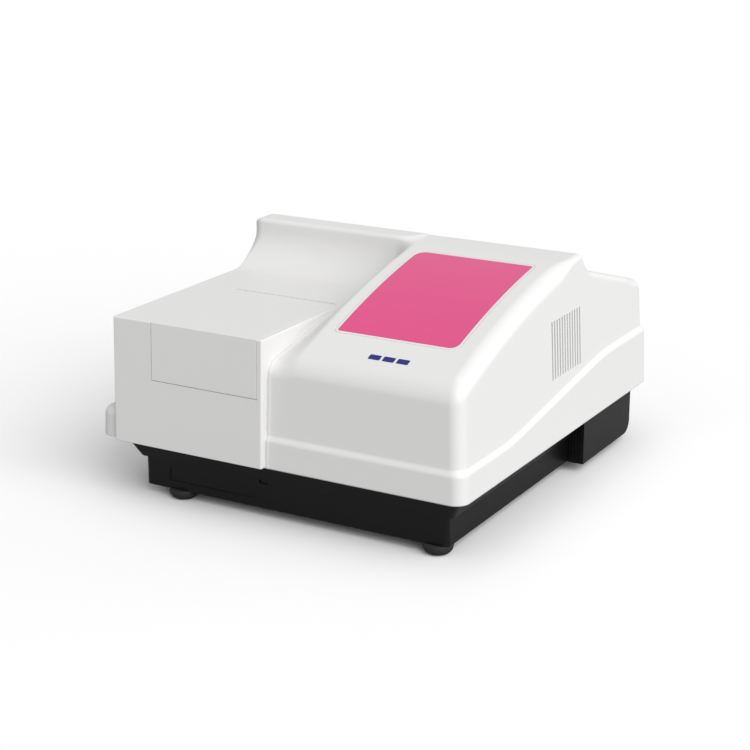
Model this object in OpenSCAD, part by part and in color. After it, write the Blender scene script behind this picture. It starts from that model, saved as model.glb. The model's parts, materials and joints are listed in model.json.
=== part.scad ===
// Bench-top spectrophotometer: white moulded cover with a tinted panel and a
// sample lid, on a black base tray, with the optics and electronics inside.
// Millimetres, +Z up. Origin: middle of the footprint, on the surface the feet stand on.

/* [Body] */
// Width of the white cover across its skirt
body_w = 440; // [436:1:444]
// Depth from the sample box front to the rear wall
body_d = 477; // [476:1:478]
// Height of the cover's lower edge
skirt_z = 63; // [62:0.5:64]
// Height of the flat deck over the sample compartment
deck_z = 199.7; // [198:0.1:201]
// Height of the ridge, the highest part of the cover
ridge_z = 253.5; // [252:0.5:255]
// Wall thickness of the white moulding
wall = 3; // [2.5:0.1:3.2]

/* [Sample box] */
// Left face of the sample box
box_left = -195.1; // [-196:0.1:-194]
// Right face of the sample box
box_right = -8.8; // [-9.4:0.1:-8]
// Left edge of the lid
lid_left = -146; // [-147:0.5:-145]
// Right edge of the lid
lid_right = -15; // [-15.5:0.5:-15]
// Height of the lid's lower front edge
lid_low_z = 137; // [134:0.5:140]
// Gap round the lid
lid_gap = 0.5; // [0.4:0.1:0.8]

/* [Panel and vents] */
// Width of the tinted panel
panel_w = 136.8; // [134:0.2:138]
// Depth of the tinted panel, measured level
panel_d = 176.1; // [174:0.1:177]
// Number of vent slots in the right wall
vent_count = 12; // [8:1:12]
// Distance from one vent slot to the next
vent_pitch = 6.46; // [6:0.01:6.6]

/* [Base] */
// Diameter of a rubber foot
foot_dia = 32; // [28:1:34]
// Height of a rubber foot under the base
foot_h = 11; // [9:0.5:12]

/* [Optics] */
// Height of the light beam
beam_z = 140; // [138:1:142]
// Radius of the chopper disc
chopper_r = 38; // [34:1:39]
// Number of filter places in the wheel
filter_count = 8; // [6:1:8]

/* [Rear panel] */
// Size of the square cooling fan
fan_size = 50; // [48:1:50]
// Number of fan blades
fan_blades = 7; // [5:1:9]

/* [Hidden] */
$fn = 64;
front_y = -body_d / 2;
rear_y = body_d / 2;
side_x = body_w / 2;
main_front_y = front_y + 6.2;       // the sample box stands this far proud
inset = 3;                          // upper walls stand in from the skirt
up_front = main_front_y + inset;
up_rear = rear_y - inset;
up_left = box_left - 1.9;
up_right = side_x - inset;
plan_r = 14;                        // plan corner radius at the front
rear_r = 5;                         // plan corner radius at the rear
ledge_front_z = 95;
ledge_rear_z = 129;
draft = tan(2.1);                   // draft of the sample box front
hump_left = 12;                     // where the hump starts, right of the valley
valley_drop = 10;
apex_y = 156.9;                     // vertex of the hump's parabola
apex_z = 258.6;
hump_k = 0.000545;
hinge_y = -79;                      // lid hinge axis
hinge_z = deck_z - 3;
nose_r = 3;                         // bullnose at the lid's rear edge
pin_r = 1.25;
run_gap = 0.05;                     // running clearance, radial
base_z = foot_h;
base_x0 = -172;
base_x1 = 196;
base_y0 = -217;
base_y1 = 225;
base_wall = 3;
base_step_z = 42.5;                 // top of the upright base walls
flange_top = skirt_z - 0.3;
block_x = 216;                      // outer side of the base's side block
block_y0 = 70;
block_y1 = 203;
block_r = 14;                       // round behind and below the side block
bench_z = 72;
bench_t = 8;
deck_in = bench_z + bench_t;        // top of the optical bench
sample_y = -150;                    // beam line through the sample
slit_y = -60;                       // beam line into the monochromator
lamp_y = 42;                        // beam line out of the lamp house
cell_x = -80;
mono_x0 = 22;
mono_x1 = 192;
mono_y0 = -198;
mono_y1 = -25;
mono_top = 166;
grating_x = 60;
grating_y = (sample_y + slit_y) / 2;
panel_in = up_rear - wall - 0.3;    // front side of the rear panel
fan_x = 120;
fan_z = 95;
inlet_x = -130;
switch_x = -88;
rocker_y = 229;
feet_at = [[-129, -207], [180, -207], [-129, 198], [180, 198]];
pillars_at = [[-152, -207], [166, -207], [-152, 195], [166, 192]];
cover_screws_at = [[-211, -150], [211, -150], [-211, 150], [211, 150]];
chopper_at = [99, 72];              // x and y of the chopper disc
wheel_at = [66, 16];                // x and y of the filter wheel
filter_orbit = 26;

// ---- shared shapes ----

// Points of an arc about [cx, cy], angles in degrees
function arc(cx, cy, r, a0, a1, n = 8) =
  [for (i = [0:n]) let (a = a0 + (a1 - a0) * i / n) [cx + r * cos(a), cy + r * sin(a)]];

// Outline of a rectangle with round corners, of radius q at the rear
function round_rect(x0, x1, y0, y1, r, q) = concat(
  arc(x1 - q, y1 - q, q, 0, 90), arc(x0 + q, y1 - q, q, 90, 180),
  arc(x0 + r, y0 + r, r, 180, 270), arc(x1 - r, y0 + r, r, 270, 360));

// Depth of a spherical surface of radius curve at distance r from its axis
function sag(r, curve) = curve - sqrt(curve * curve - r * r);

// A block given by its two opposite corners
module block(a, b) {
  translate(a) cube([b[0] - a[0], b[1] - a[1], b[2] - a[2]]);
}

// A profile drawn in Y and Z, carried along X
module along_x(points, x0, x1) {
  translate([x0, 0, 0]) rotate([90, 0, 90]) linear_extrude(x1 - x0) polygon(points);
}

// A plate with round corners, drawn in plan
module plate(x0, x1, y0, y1, r, z0, z1, rear = 0) {
  translate([0, 0, z0]) linear_extrude(z1 - z0)
    polygon(round_rect(x0, x1, y0, y1, r, rear > 0 ? rear : r));
}

module rod_x(x0, x1, y, z, r) {
  translate([x0, y, z]) rotate([0, 90, 0]) cylinder(h = x1 - x0, r = r);
}

module rod_y(x, y0, y1, z, r) {
  translate([x, y0, z]) rotate([-90, 0, 0]) cylinder(h = y1 - y0, r = r);
}

module rod_z(x, y, z0, z1, r) {
  translate([x, y, z0]) cylinder(h = z1 - z0, r = r);
}

// A cap screw with its head down at z and its shank upward
module screw_up(x, y, z, head_r, head_h, shank_r, shank_h) {
  rod_z(x, y, z, z + head_h, head_r);
  rod_z(x, y, z + head_h, z + head_h + shank_h, shank_r);
}

// ---- cover outline ----

// Height of the hump's top surface
function hump(y) = apex_z - hump_k * (y - apex_y) * (y - apex_y);

// The ridge's rear edge, the rear deck and the round to the rear wall, t inside the surface
function rear_points(t, low) = concat(
  arc(60, ridge_z - 14, 14 - t, 90, 30),
  arc(108.6, ridge_z + 10.5, 40 + t, 210, 253.4),
  arc(up_rear - 11, 176.7, 11 - t, 73.6, 0),
  [[up_rear - t, low]]);

// Sample side: deck, sweep up to the ridge, rear
function deck_profile(t, low) = concat(
  [[up_front + t, low], [up_front + t, deck_z - t]],
  arc(-6.7, deck_z + 41, 41 + t, 270, 360, 12),
  arc(39.3, ridge_z - 5, 5 - t, 180, 90, 4),
  rear_points(t, low));

// Panel side: front face, round edge, long slope, rear
function hump_profile(t, low, drop = 0) = concat(
  [[up_front + t, low]],
  arc(up_front + 18, 165.2 - drop, 18 - t, 180, 112),
  [for (y = [-210:20:30]) [y, hump(y) - t - drop]],
  [[44, ridge_z - t]],
  rear_points(t, low));

// Highest line that both the deck and the valley cover
function link_profile(t, low) = concat(
  [[up_front + t, low], [up_front + t, 150]],
  [for (y = [-205:15:20]) [y, min(deck_z, hump(y) - valley_drop) - t]],
  [[60, deck_z - t], [60, low]]);

// Skirt: level, rising towards the rear, level again
function ledge_profile(t, low) = [
  [front_y - 5, low], [front_y - 5, ledge_front_z - t], [-123, ledge_front_z - t],
  [119, ledge_rear_z - t], [rear_y + 5, ledge_rear_z - t], [rear_y + 5, low]];

function box_front(z) = front_y + (z - skirt_z) * draft;

// Everything inside the cover's surface, t further in
module cover_form(t, low) {
  intersection() {
    plate(-side_x + t, side_x - t, main_front_y + t, rear_y - t, plan_r - t, low, 140, rear_r - t);
    along_x(ledge_profile(t, low), -side_x, side_x);
  }
  intersection() {
    plate(up_left + t, up_right - t, up_front + t, up_rear - t, plan_r - t, low, 260, rear_r - t);
    union() {
      along_x(deck_profile(t, low), up_left + t, box_right - t);
      along_x(hump_profile(t, low, valley_drop), box_right - 0.01 + t, hump_left + 0.01 + t);
      along_x(hump_profile(t, low), hump_left + t, up_right - t);
      along_x(link_profile(t, low), box_right - 10, hump_left);
    }
  }
  along_x([[front_y + t, low], [box_front(deck_z) + t, deck_z - t], [-200, deck_z - t],
    [-200, low]], box_left + t, box_right - t);
}

// ---- cover ----

module main_cover() {
  panel_x = (40.3 + 177.1) / 2;
  color("white") difference() {
    union() {
      difference() {
        cover_form(0, skirt_z);
        cover_form(wall, skirt_z - 1);
      }
      // bosses for the hinge pin, beside the lid
      block([lid_left - 7, hinge_y - 5, hinge_z - 6], [lid_left - lid_gap, hinge_y + 5, hinge_z + 1]);
      block([lid_right + lid_gap, hinge_y - 5, hinge_z - 6], [box_right - 1, hinge_y + 5, hinge_z + 1]);
      // bosses for the screws through the base flange
      for (p = cover_screws_at) intersection() {
        rod_z(p[0], p[1], skirt_z, ledge_front_z - 5, 5);
        block([-side_x + 1, rear_y * -1, skirt_z], [side_x - 1, rear_y, ledge_front_z]);
      }
    }
    // lid opening, through the deck and the box front
    block([lid_left - lid_gap, front_y - 2, lid_low_z - lid_gap],
      [lid_right + lid_gap, hinge_y + nose_r + lid_gap, deck_z + 2]);
    rod_x(lid_left - 6, box_right - 2, hinge_y, hinge_z, pin_r);
    for (p = cover_screws_at) rod_z(p[0], p[1], skirt_z - 1, skirt_z + 16, 1.7);
    // shallow seat for the panel
    intersection() {
      plate(panel_x - panel_w / 2 - 5.4, panel_x + panel_w / 2 + 5.4, -79.3 - panel_d / 2 - 5.4,
        -79.3 + panel_d / 2 + 5.4, 9, 150, 260);
      along_x(concat([for (y = [-190:20:50]) [y, hump(y) - 1]], [[50, 270], [-190, 270]]), 20, 200);
    }
    // vents
    for (i = [0:vent_count - 1])
      block([up_right - 8, -14 + i * vent_pitch - 1.5, 132],
        [side_x + 5, -14 + i * vent_pitch + 1.5, 195.5]);
    // window for the rear panel
    block([-165, panel_in - 4, 67], [165, rear_y + 5, 122]);
  }
}

module panel_overlay() {
  panel_x = (40.3 + 177.1) / 2;
  color("hotpink") intersection() {
    plate(panel_x - panel_w / 2, panel_x + panel_w / 2, -79.3 - panel_d / 2, -79.3 + panel_d / 2, 5,
      150, 260);
    along_x(concat([for (y = [-190:20:50]) [y, hump(y) - 0.95]],
      [for (y = [50:-20:-190]) [y, hump(y) - 0.25]]), 20, 200);
  }
}

module sample_lid() {
  low = lid_low_z;
  color("whitesmoke") difference() {
    along_x(concat(
      [[box_front(low), low], [box_front(deck_z), deck_z]],
      arc(hinge_y, hinge_z, nose_r, 90, -90, 12),
      [[hinge_y - 5, hinge_z - nose_r], [hinge_y - 8, hinge_z],
       [box_front(deck_z) + wall, hinge_z], [box_front(low) + wall, low]]), lid_left, lid_right);
    rod_x(lid_left - 1, lid_right + 1, hinge_y, hinge_z, pin_r + run_gap);
  }
}

module lid_liner() {
  color("black") difference() {
    block([lid_left + 6, -224, hinge_z - 2.2], [lid_right - 6, -92, hinge_z]);
    block([lid_left + 12, -218, hinge_z - 3], [lid_right - 12, -98, hinge_z - 1.2]);
  }
}

module hinge_pin() {
  color("silver") rod_x(lid_left - 6, box_right - 2, hinge_y, hinge_z, pin_r);
}

// ---- base ----

// Outline of the side block seen from the side, t inside its walls
function block_profile(t, low, high) = concat(
  [[block_y0 + t, high], [block_y0 + t, low]],
  arc(block_y1 - block_r, base_z + block_r, block_r - t, 270, 360, 8),
  [[block_y1 - t, high]]);

module base_tray() {
  color("black") difference() {
    union() {
      plate(base_x0, base_x1, base_y0, base_y1, 6, base_z, flange_top);
      // flared collar under the skirt
      hull() {
        plate(base_x0 - 8, base_x1 + 5, base_y0 - 1, base_y1 + 2, 8, base_step_z, base_step_z + 1);
        plate(-193, 210, base_y0 - 7, base_y1 + 5, 8, flange_top - 2, flange_top);
      }
      plate(-215, 216, main_front_y + 9, rear_y - 4, plan_r + 4, flange_top - 2.5, flange_top);
      // side block towards the rear, rounded behind and below
      along_x(block_profile(0, base_z, flange_top), base_x1 - 10, block_x);
    }
    plate(base_x0 + base_wall, base_x1 - base_wall, base_y0 + base_wall, base_y1 - base_wall, 4,
      base_z + base_wall, flange_top + 1);
    along_x(block_profile(base_wall, base_z + base_wall, flange_top - 4), base_x1 - 12,
      block_x - base_wall);
    // shallow slot and pocket in the front face
    block([-140, base_y0 - 0.1, 20], [-28, base_y0 + 1, 36]);
    block([-26, base_y0 - 1, 38], [-15, base_y0 + 2, base_step_z]);
    for (p = feet_at) rod_z(p[0], p[1], base_z - 1, base_z + base_wall + 1, 2.2);
    for (p = cover_screws_at) {
      rod_z(p[0], p[1], flange_top - 4, flange_top + 1, 2.2);
      rod_z(p[0], p[1], base_z - 1, flange_top - 2.5, 3.4);
    }
    // cooling slots in the floor
    for (i = [0:9]) block([70 + i * 9, 60, base_z - 1], [74 + i * 9, 160, base_z + base_wall + 1]);
  }
  // ribs on the side block's front
  color("black") for (i = [0:4]) block([199 + i * 3.4, block_y0 - 1, base_z + 2],
    [200.2 + i * 3.4, block_y0 + 0.5, flange_top - 4]);
}

// A domed rubber foot, hollow for its screw
module foot(p) {
  r = foot_dia / 2;
  color("dimgray") translate([p[0], p[1], 0]) difference() {
    rotate_extrude() polygon(concat([[0, 0], [r - 5, 0]],
      [for (a = [-90:15:0]) [r - 5 + 5 * cos(a), 6 + 6 * sin(a)]], [[r, foot_h], [0, foot_h]]));
    translate([0, 0, -1]) cylinder(h = 6, r = 4.6);
    cylinder(h = foot_h + 1, r = 2.2);
  }
}

module foot_front_left() { foot(feet_at[0]); }
module foot_front_right() { foot(feet_at[1]); }
module foot_rear_left() { foot(feet_at[2]); }
module foot_rear_right() { foot(feet_at[3]); }

module foot_screws() {
  color("silver") for (p = feet_at) {
    screw_up(p[0], p[1], 2, 4, 3, 2, base_z + base_wall - 4);
    translate([p[0], p[1], base_z + base_wall]) cylinder(h = 3, r = 4, $fn = 6);
  }
}

module cover_screws() {
  color("silver") for (p = cover_screws_at)
    screw_up(p[0], p[1], flange_top - 5.5, 3, 3, 1.65, 16);
}

// ---- rear panel ----

module rear_panel() {
  color("gainsboro") difference() {
    block([-170, panel_in, 63.5], [170, panel_in + 2.7, 125.5]);
    block([inlet_x - 14.2, panel_in - 1, 70.8], [inlet_x + 14.2, rear_y, 119.2]);
    block([switch_x - 10.2, panel_in - 1, 81.8], [switch_x + 10.2, rear_y, 108.2]);
    block([-41, panel_in - 1, 87.5], [-26, rear_y, 101.5]);
    block([-8, panel_in - 1, 88], [20, rear_y, 101]);
    rod_y(fan_x, panel_in - 1, rear_y, fan_z, fan_size / 2 - 2);
    for (x = [-1, 1], z = [-1, 1])
      rod_y(fan_x + x * (fan_size / 2 - 4), panel_in - 1, rear_y, fan_z + z * (fan_size / 2 - 4), 1.7);
  }
}

module panel_screws() {
  color("silver") {
    for (x = [-158, -60, 60, 158], z = [71, 118])
      rod_y(x, panel_in + 2.7, panel_in + 4.4, z, 3);
    for (x = [-1, 1], z = [-1, 1])
      rod_y(fan_x + x * (fan_size / 2 - 4), panel_in - 15, panel_in + 2.7,
        fan_z + z * (fan_size / 2 - 4), 1.6);
  }
}

module power_inlet() {
  color("black") difference() {
    union() {
      block([inlet_x - 14, 205, 71], [inlet_x + 14, panel_in + 2.8, 119]);
      block([inlet_x - 17, panel_in + 2.8, 69], [inlet_x + 17, rear_y - 0.6, 121]);
    }
    block([inlet_x - 12.2, 215, 73.5], [inlet_x + 12.2, rear_y + 1, 92]);
    block([inlet_x - 10.3, 211.5, 98.7], [inlet_x + 10.3, rear_y + 1, 115.3]);
    blades(0.1);
  }
}

// The three contact blades, the middle one higher, grown by g on all sides
module blades(g) {
  for (x = [-7, 0, 7]) {
    z = x == 0 ? 82 : 80;
    block([inlet_x + x - 1 - g, 200 - g, z - g], [inlet_x + x + 1 + g, 229 + g, z + 6 + g]);
  }
}

module inlet_blades() { color("silver") blades(0); }

module fuse_drawer() {
  color("black") difference() {
    union() {
      block([inlet_x - 10, 212, 99], [inlet_x + 10, rear_y - 1.2, 115]);
      block([inlet_x - 6, rear_y - 2, 105], [inlet_x + 6, rear_y - 0.1, 107]);
    }
    for (x = [-5, 5]) {
      rod_y(inlet_x + x, 213, 233.5, 107, 2.6);
      block([inlet_x + x - 2.6, 213, 107], [inlet_x + x + 2.6, 233.5, 116]);
    }
  }
}

module fuses() {
  color("silver") for (x = [-5, 5]) {
    rod_y(inlet_x + x, 213.1, 218, 107, 2.6);
    rod_y(inlet_x + x, 218, 228, 107, 2.3);
    rod_y(inlet_x + x, 228, 233.1, 107, 2.6);
  }
}

module switch_body() {
  color("black") difference() {
    union() {
      block([switch_x - 10, 212, 82], [switch_x + 10, panel_in + 2.8, 108]);
      block([switch_x - 12, panel_in + 2.8, 80], [switch_x + 12, rear_y - 1.2, 110]);
    }
    rod_x(switch_x - 7.3, switch_x + 7.3, rocker_y, fan_z, 12);
    rod_x(switch_x - 9, switch_x + 9, rocker_y, fan_z, 1.5 + run_gap);
  }
}

module power_rocker() {
  color("darkred") {
    difference() {
      rod_x(switch_x - 7, switch_x + 7, rocker_y, fan_z, 11.6);
      block([switch_x - 8, rocker_y - 13, 80], [switch_x + 8, rocker_y - 3, 110]);
      translate([switch_x, rocker_y, fan_z]) rotate([9, 0, 0]) along_x([[6.6, 0], [8, 7], [8.4, 14],
        [20, 14], [20, -14], [8.4, -14], [8, -7]], -8, 8);
    }
    rod_x(switch_x - 8.8, switch_x + 8.8, rocker_y, fan_z, 1.5);
  }
}

module usb_port() {
  color("silver") difference() {
    block([-40, 216, 88.5], [-27, rear_y - 1, 100.5]);
    block([-37.7, 222, 90.5], [-29.3, rear_y + 1, 98.5]);
  }
}

module serial_port() {
  color("silver") {
    difference() {
      union() {
        block([-7, 218, 89], [19, panel_in + 2.8, 100]);
        block([-9.5, panel_in + 2.8, 87.5], [21.5, panel_in + 3.8, 101.5]);
        block([-3, panel_in + 3.8, 90], [15, rear_y - 0.3, 99]);
      }
      block([-2.2, 228, 90.8], [14.2, rear_y + 1, 98.2]);
    }
    for (i = [0:4]) rod_y(0.4 + i * 2.8, 227, 236, 96, 0.5);
    for (i = [0:3]) rod_y(1.8 + i * 2.8, 227, 236, 93, 0.5);
  }
}

module fan_frame() {
  y0 = panel_in - 20.2;
  color("black") {
    difference() {
      block([fan_x - fan_size / 2, y0, fan_z - fan_size / 2],
        [fan_x + fan_size / 2, panel_in - 0.2, fan_z + fan_size / 2]);
      rod_y(fan_x, y0 - 1, panel_in, fan_z, fan_size / 2 - 2.2);
      for (x = [-1, 1], z = [-1, 1])
        rod_y(fan_x + x * (fan_size / 2 - 4), y0 - 1, panel_in, fan_z + z * (fan_size / 2 - 4), 1.7);
    }
    rod_y(fan_x, y0, y0 + 3, fan_z, 9);
    rod_y(fan_x, y0 + 2, y0 + 15, fan_z, 1.5);
    block([fan_x - fan_size / 2 + 1, y0 + 0.4, fan_z - 1], [fan_x + fan_size / 2 - 1, y0 + 2.6, fan_z + 1]);
    block([fan_x - 1, y0 + 0.4, fan_z - fan_size / 2 + 1], [fan_x + 1, y0 + 2.6, fan_z + fan_size / 2 - 1]);
  }
}

module fan_rotor() {
  y0 = panel_in - 16.6;
  color("dimgray") difference() {
    union() {
      rod_y(fan_x, y0, y0 + 14, fan_z, 9);
      for (i = [0:fan_blades - 1]) translate([fan_x, y0 + 7, fan_z]) rotate([0, i * 360 / fan_blades, 0])
        rotate([35, 0, 0]) block([7, -7, -0.6], [fan_size / 2 - 4, 7, 0.6]);
    }
    rod_y(fan_x, y0 - 1, y0 + 12, fan_z, 1.5 + run_gap);
  }
}

module fan_grille() {
  color("silver") {
    for (r = [6:6:24]) translate([fan_x, panel_in + 2.8, fan_z]) rotate([-90, 0, 0])
      difference() {
        cylinder(h = 1.6, r = r + 0.7);
        translate([0, 0, -1]) cylinder(h = 4, r = r - 0.7);
      }
    for (a = [45, 135]) translate([fan_x, panel_in + 2.9, fan_z]) rotate([0, a, 0])
      block([-31, 0, -0.7], [31, 1.4, 0.7]);
  }
}

// ---- optical bench ----

module optical_bench() {
  color("silver") difference() {
    plate(-185, 200, -218, 200, 10, bench_z, deck_in);
    for (p = pillars_at) rod_z(p[0], p[1], bench_z - 1, deck_in + 1, 2.6);
    rod_z(grating_x, grating_y, bench_z - 1, deck_in + 1, 11.5);
    block([-163, -119, bench_z - 1], [-143, -113, deck_in + 1]);
    for (x = [-60, 20]) block([x, 100, bench_z - 1], [x + 50, 180, deck_in + 1]);
  }
}

module bench_pillars() {
  color("silver") for (p = pillars_at) difference() {
    rod_z(p[0], p[1], base_z + base_wall, bench_z, 6);
    rod_z(p[0], p[1], bench_z - 20, bench_z + 1, 2.5);
  }
}

module bench_screws() {
  color("dimgray") for (p = pillars_at) {
    rod_z(p[0], p[1], bench_z - 14, deck_in, 2.45);
    rod_z(p[0], p[1], deck_in, deck_in + 4, 4.5);
  }
}

// ---- sample compartment ----

module sample_tub() {
  t = 2.5;
  color("black") difference() {
    block([-141, -229, deck_in], [-19, -85, hinge_z - 3.7]);
    block([-141 + t, -229 + t, deck_in + t], [-19 - t, -85 - t, hinge_z]);
    // low front wall behind the lid's flap
    block([-141 + t, -230, lid_low_z - 3], [-19 - t, -229 + t + 1, hinge_z]);
    rod_x(-142, -18, sample_y, beam_z, 9);
  }
}

module tub_windows() {
  color("lightblue") for (x = [-141, -21.5]) rod_x(x, x + 2.5, sample_y, beam_z, 9);
}

module cell_holder() {
  color("dimgray") difference() {
    union() {
      block([cell_x - 18, sample_y - 18, deck_in + 2.5], [cell_x + 18, sample_y + 18, 158]);
      block([cell_x - 28, sample_y - 24, deck_in + 2.5], [cell_x + 28, sample_y + 24, deck_in + 8]);
    }
    block([cell_x - 6.3, sample_y - 6.3, beam_z - 15], [cell_x + 6.3, sample_y + 6.3, 160]);
    rod_x(cell_x - 20, cell_x + 20, sample_y, beam_z, 4);
    block([cell_x - 12, sample_y - 20, 134], [cell_x + 12, sample_y - 12, 160]);
  }
}

module beam_tube() {
  color("black") difference() {
    rod_x(-18.5, mono_x0 - 3.2, sample_y, beam_z, 15);
    rod_x(-20, mono_x0, sample_y, beam_z, 12);
  }
}

module beam_lens() {
  color("lightblue") translate([-2, sample_y, beam_z]) rotate([0, 90, 0]) rotate_extrude()
    polygon(concat([for (r = [0:2:12]) [r, 3.5 - sag(r, 27.5)]],
      [for (r = [12:-2:0]) [r, sag(r, 27.5) - 3.5]]));
}

// ---- monochromator ----

module monochromator_case() {
  color("dimgray") difference() {
    plate(mono_x0, mono_x1, mono_y0, mono_y1, 6, deck_in, mono_top);
    plate(mono_x0 + 4, mono_x1 - 4, mono_y0 + 4, mono_y1 - 4, 3, deck_in + 4, mono_top + 1);
    for (y = [sample_y, slit_y]) rod_x(mono_x0 - 1, mono_x0 + 5, y, beam_z, 6);
    rod_z(grating_x, grating_y, deck_in - 1, deck_in + 5, 10);
  }
}

module monochromator_lid() {
  color("gray") difference() {
    union() {
      plate(mono_x0, mono_x1, mono_y0, mono_y1, 6, mono_top, mono_top + 3);
      for (x = [mono_x0 + 8, mono_x1 - 8], y = [mono_y0 + 8, (mono_y0 + mono_y1) / 2, mono_y1 - 8])
        rod_z(x, y, mono_top + 3, mono_top + 5, 3);
    }
    block([mono_x0 + 40, mono_y0 + 30, mono_top + 2], [mono_x1 - 40, mono_y0 + 60, mono_top + 4]);
  }
}

module slit_plates() {
  color("black") for (y = [sample_y, slit_y]) difference() {
    block([mono_x0 - 3, y - 14, beam_z - 14], [mono_x0 - 0.2, y + 14, beam_z + 14]);
    block([mono_x0 - 4, y - 0.8, beam_z - 5], [mono_x0 + 1, y + 0.8, beam_z + 5]);
  }
}

module curved_mirror(y) {
  color("lightsteelblue") translate([mono_x1 - 10, y, beam_z]) rotate([0, -90, 0]) rotate_extrude()
    polygon(concat([[0, 0], [21, 0]], [for (r = [21:-3:0]) [r, 6.5 + sag(r, 150)]]));
}

module collimating_mirror() { curved_mirror(slit_y); }
module focusing_mirror() { curved_mirror(sample_y); }

module mirror_mounts() {
  color("gray") for (y = [sample_y, slit_y]) {
    block([mono_x1 - 10, y - 24, deck_in + 4], [mono_x1 - 6, y + 24, mono_top - 2]);
    block([mono_x1 - 34, y - 24, deck_in + 4], [mono_x1 - 10, y + 24, deck_in + 8]);
  }
}

module grating_motor() {
  top = bench_z - 0.3;
  color("dimgray") difference() {
    union() {
      block([grating_x - 21, grating_y - 21, top - 34], [grating_x + 21, grating_y + 21, top]);
      rod_z(grating_x, grating_y, top, top + 2, 11);
    }
    rod_z(grating_x, grating_y, top - 28, top + 3, 2.5 + run_gap);
  }
}

module grating_turntable() {
  color("silver") {
    rod_z(grating_x, grating_y, bench_z - 26, 100, 2.5);
    rod_z(grating_x, grating_y, 90, 100, 8);
    rod_z(grating_x, grating_y, 100, 105, 26);
    block([grating_x - 8, grating_y - 22, 105], [grating_x - 3, grating_y + 22, 150]);
  }
}

module grating() {
  color("lightsteelblue") block([grating_x - 3, grating_y - 25, 106], [grating_x + 6, grating_y + 25, 156]);
}

// A flat mirror at 45 degrees on its post
module relay(y, turn) {
  color("lightsteelblue") {
    translate([0, y, beam_z]) rotate([0, 0, turn]) block([-3, -20, -18], [3, 20, 18]);
    translate([0, y, deck_in]) rotate([0, 0, turn]) block([-6, -14, 0], [3, 14, beam_z - 18 - deck_in]);
  }
}

module relay_mirrors() {
  relay(lamp_y, 45);
  relay(slit_y, -45);
}

// ---- lamp, chopper and filters ----

module lamp_house() {
  color("silver") difference() {
    block([142, 8, deck_in], [204, 78, 190]);
    block([144.5, 10.5, deck_in + 2.5], [201.5, 75.5, 187.5]);
    rod_x(141, 146, lamp_y, beam_z, 10);
    for (i = [0:6]) block([148 + i * 7.6, 20, 186], [151 + i * 7.6, 66, 191]);
    for (i = [0:6]) block([200, 18 + i * 7.6, 100], [205, 21 + i * 7.6, 176]);
  }
}

module lamp_socket() {
  color("ivory") {
    block([155, 32, deck_in + 2.5], [175, 52, 86]);
    block([161, 38, 86], [169, 46, 104]);
    block([156, 34, 104], [174, 50, 118]);
  }
}

module halogen_lamp() {
  color("lightcyan") {
    rod_z(165, lamp_y, 121, 150, 5.5);
    translate([165, lamp_y, 150]) sphere(r = 5.5);
    block([161, lamp_y - 2, 118], [169, lamp_y + 2, 121]);
  }
}

module condenser_mirror() {
  color("lightsteelblue") {
    translate([165, lamp_y, beam_z]) rotate([0, 90, 0]) rotate_extrude()
      polygon(concat(arc(0, 0, 29, 31, 90), arc(0, 0, 27, 90, 33.6)));
    rod_x(193, 201.5, lamp_y, beam_z, 4);
  }
}

module chopper_motor() {
  color("dimgray") difference() {
    union() {
      rod_x(chopper_at[0] + 5, chopper_at[0] + 37, chopper_at[1], beam_z, 14);
      block([chopper_at[0] + 10, chopper_at[1] - 12, deck_in],
        [chopper_at[0] + 32, chopper_at[1] + 12, beam_z - 8]);
    }
    rod_x(chopper_at[0] + 4, chopper_at[0] + 25, chopper_at[1], beam_z, 2 + run_gap);
  }
}

module chopper_disc() {
  color("black") difference() {
    union() {
      rod_x(chopper_at[0] - 1, chopper_at[0] + 1, chopper_at[1], beam_z, chopper_r);
      rod_x(chopper_at[0] - 4, chopper_at[0] + 4, chopper_at[1], beam_z, 8);
      rod_x(chopper_at[0], chopper_at[0] + 24, chopper_at[1], beam_z, 2);
    }
    for (i = [0:2]) translate([chopper_at[0], chopper_at[1], beam_z]) rotate([i * 120, 0, 0])
      intersection() {
        difference() {
          rod_x(-3, 3, 0, 0, chopper_r - 3);
          rod_x(-4, 4, 0, 0, 22);
        }
        along_x([[0, 0], [60, 0], [60, 60], [30, 52]], -5, 5);
      }
  }
}

module filter_motor() {
  x0 = wheel_at[0] + 5;
  color("dimgray") difference() {
    union() {
      rod_x(x0, x0 + 20, wheel_at[1], beam_z, 16.5);
      block([x0 + 4, wheel_at[1] - 14, deck_in], [x0 + 18, wheel_at[1] + 14, beam_z - 8]);
    }
    rod_x(x0 - 1, x0 + 16, wheel_at[1], beam_z, 2 + run_gap);
  }
}

module filter_wheel() {
  color("black") difference() {
    union() {
      rod_x(wheel_at[0] - 2, wheel_at[0] + 2, wheel_at[1], beam_z, 36);
      rod_x(wheel_at[0] - 4, wheel_at[0] + 4, wheel_at[1], beam_z, 7);
      rod_x(wheel_at[0], wheel_at[0] + 20, wheel_at[1], beam_z, 2);
    }
    for (i = [0:filter_count - 1])
      translate([0, wheel_at[1], beam_z]) rotate([i * 360 / filter_count, 0, 0])
      rod_x(wheel_at[0] - 3, wheel_at[0] + 3, filter_orbit, 0, 7);
  }
}

module filters() {
  color("orange") for (i = [1:filter_count - 1]) translate([0, wheel_at[1], beam_z])
    rotate([i * 360 / filter_count, 0, 0]) rod_x(wheel_at[0] - 1, wheel_at[0] + 1, filter_orbit, 0, 7);
}

// ---- detector ----

module detector_case() {
  color("silver") difference() {
    union() {
      block([-183, -172, 118], [-146, -128, 162]);
      block([-183, -164, deck_in], [-150, -136, 118]);
    }
    rod_x(-170, -145, sample_y, beam_z, 11);
    block([-184, -158, deck_in + 8], [-149, -142, 110]);
  }
}

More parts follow.
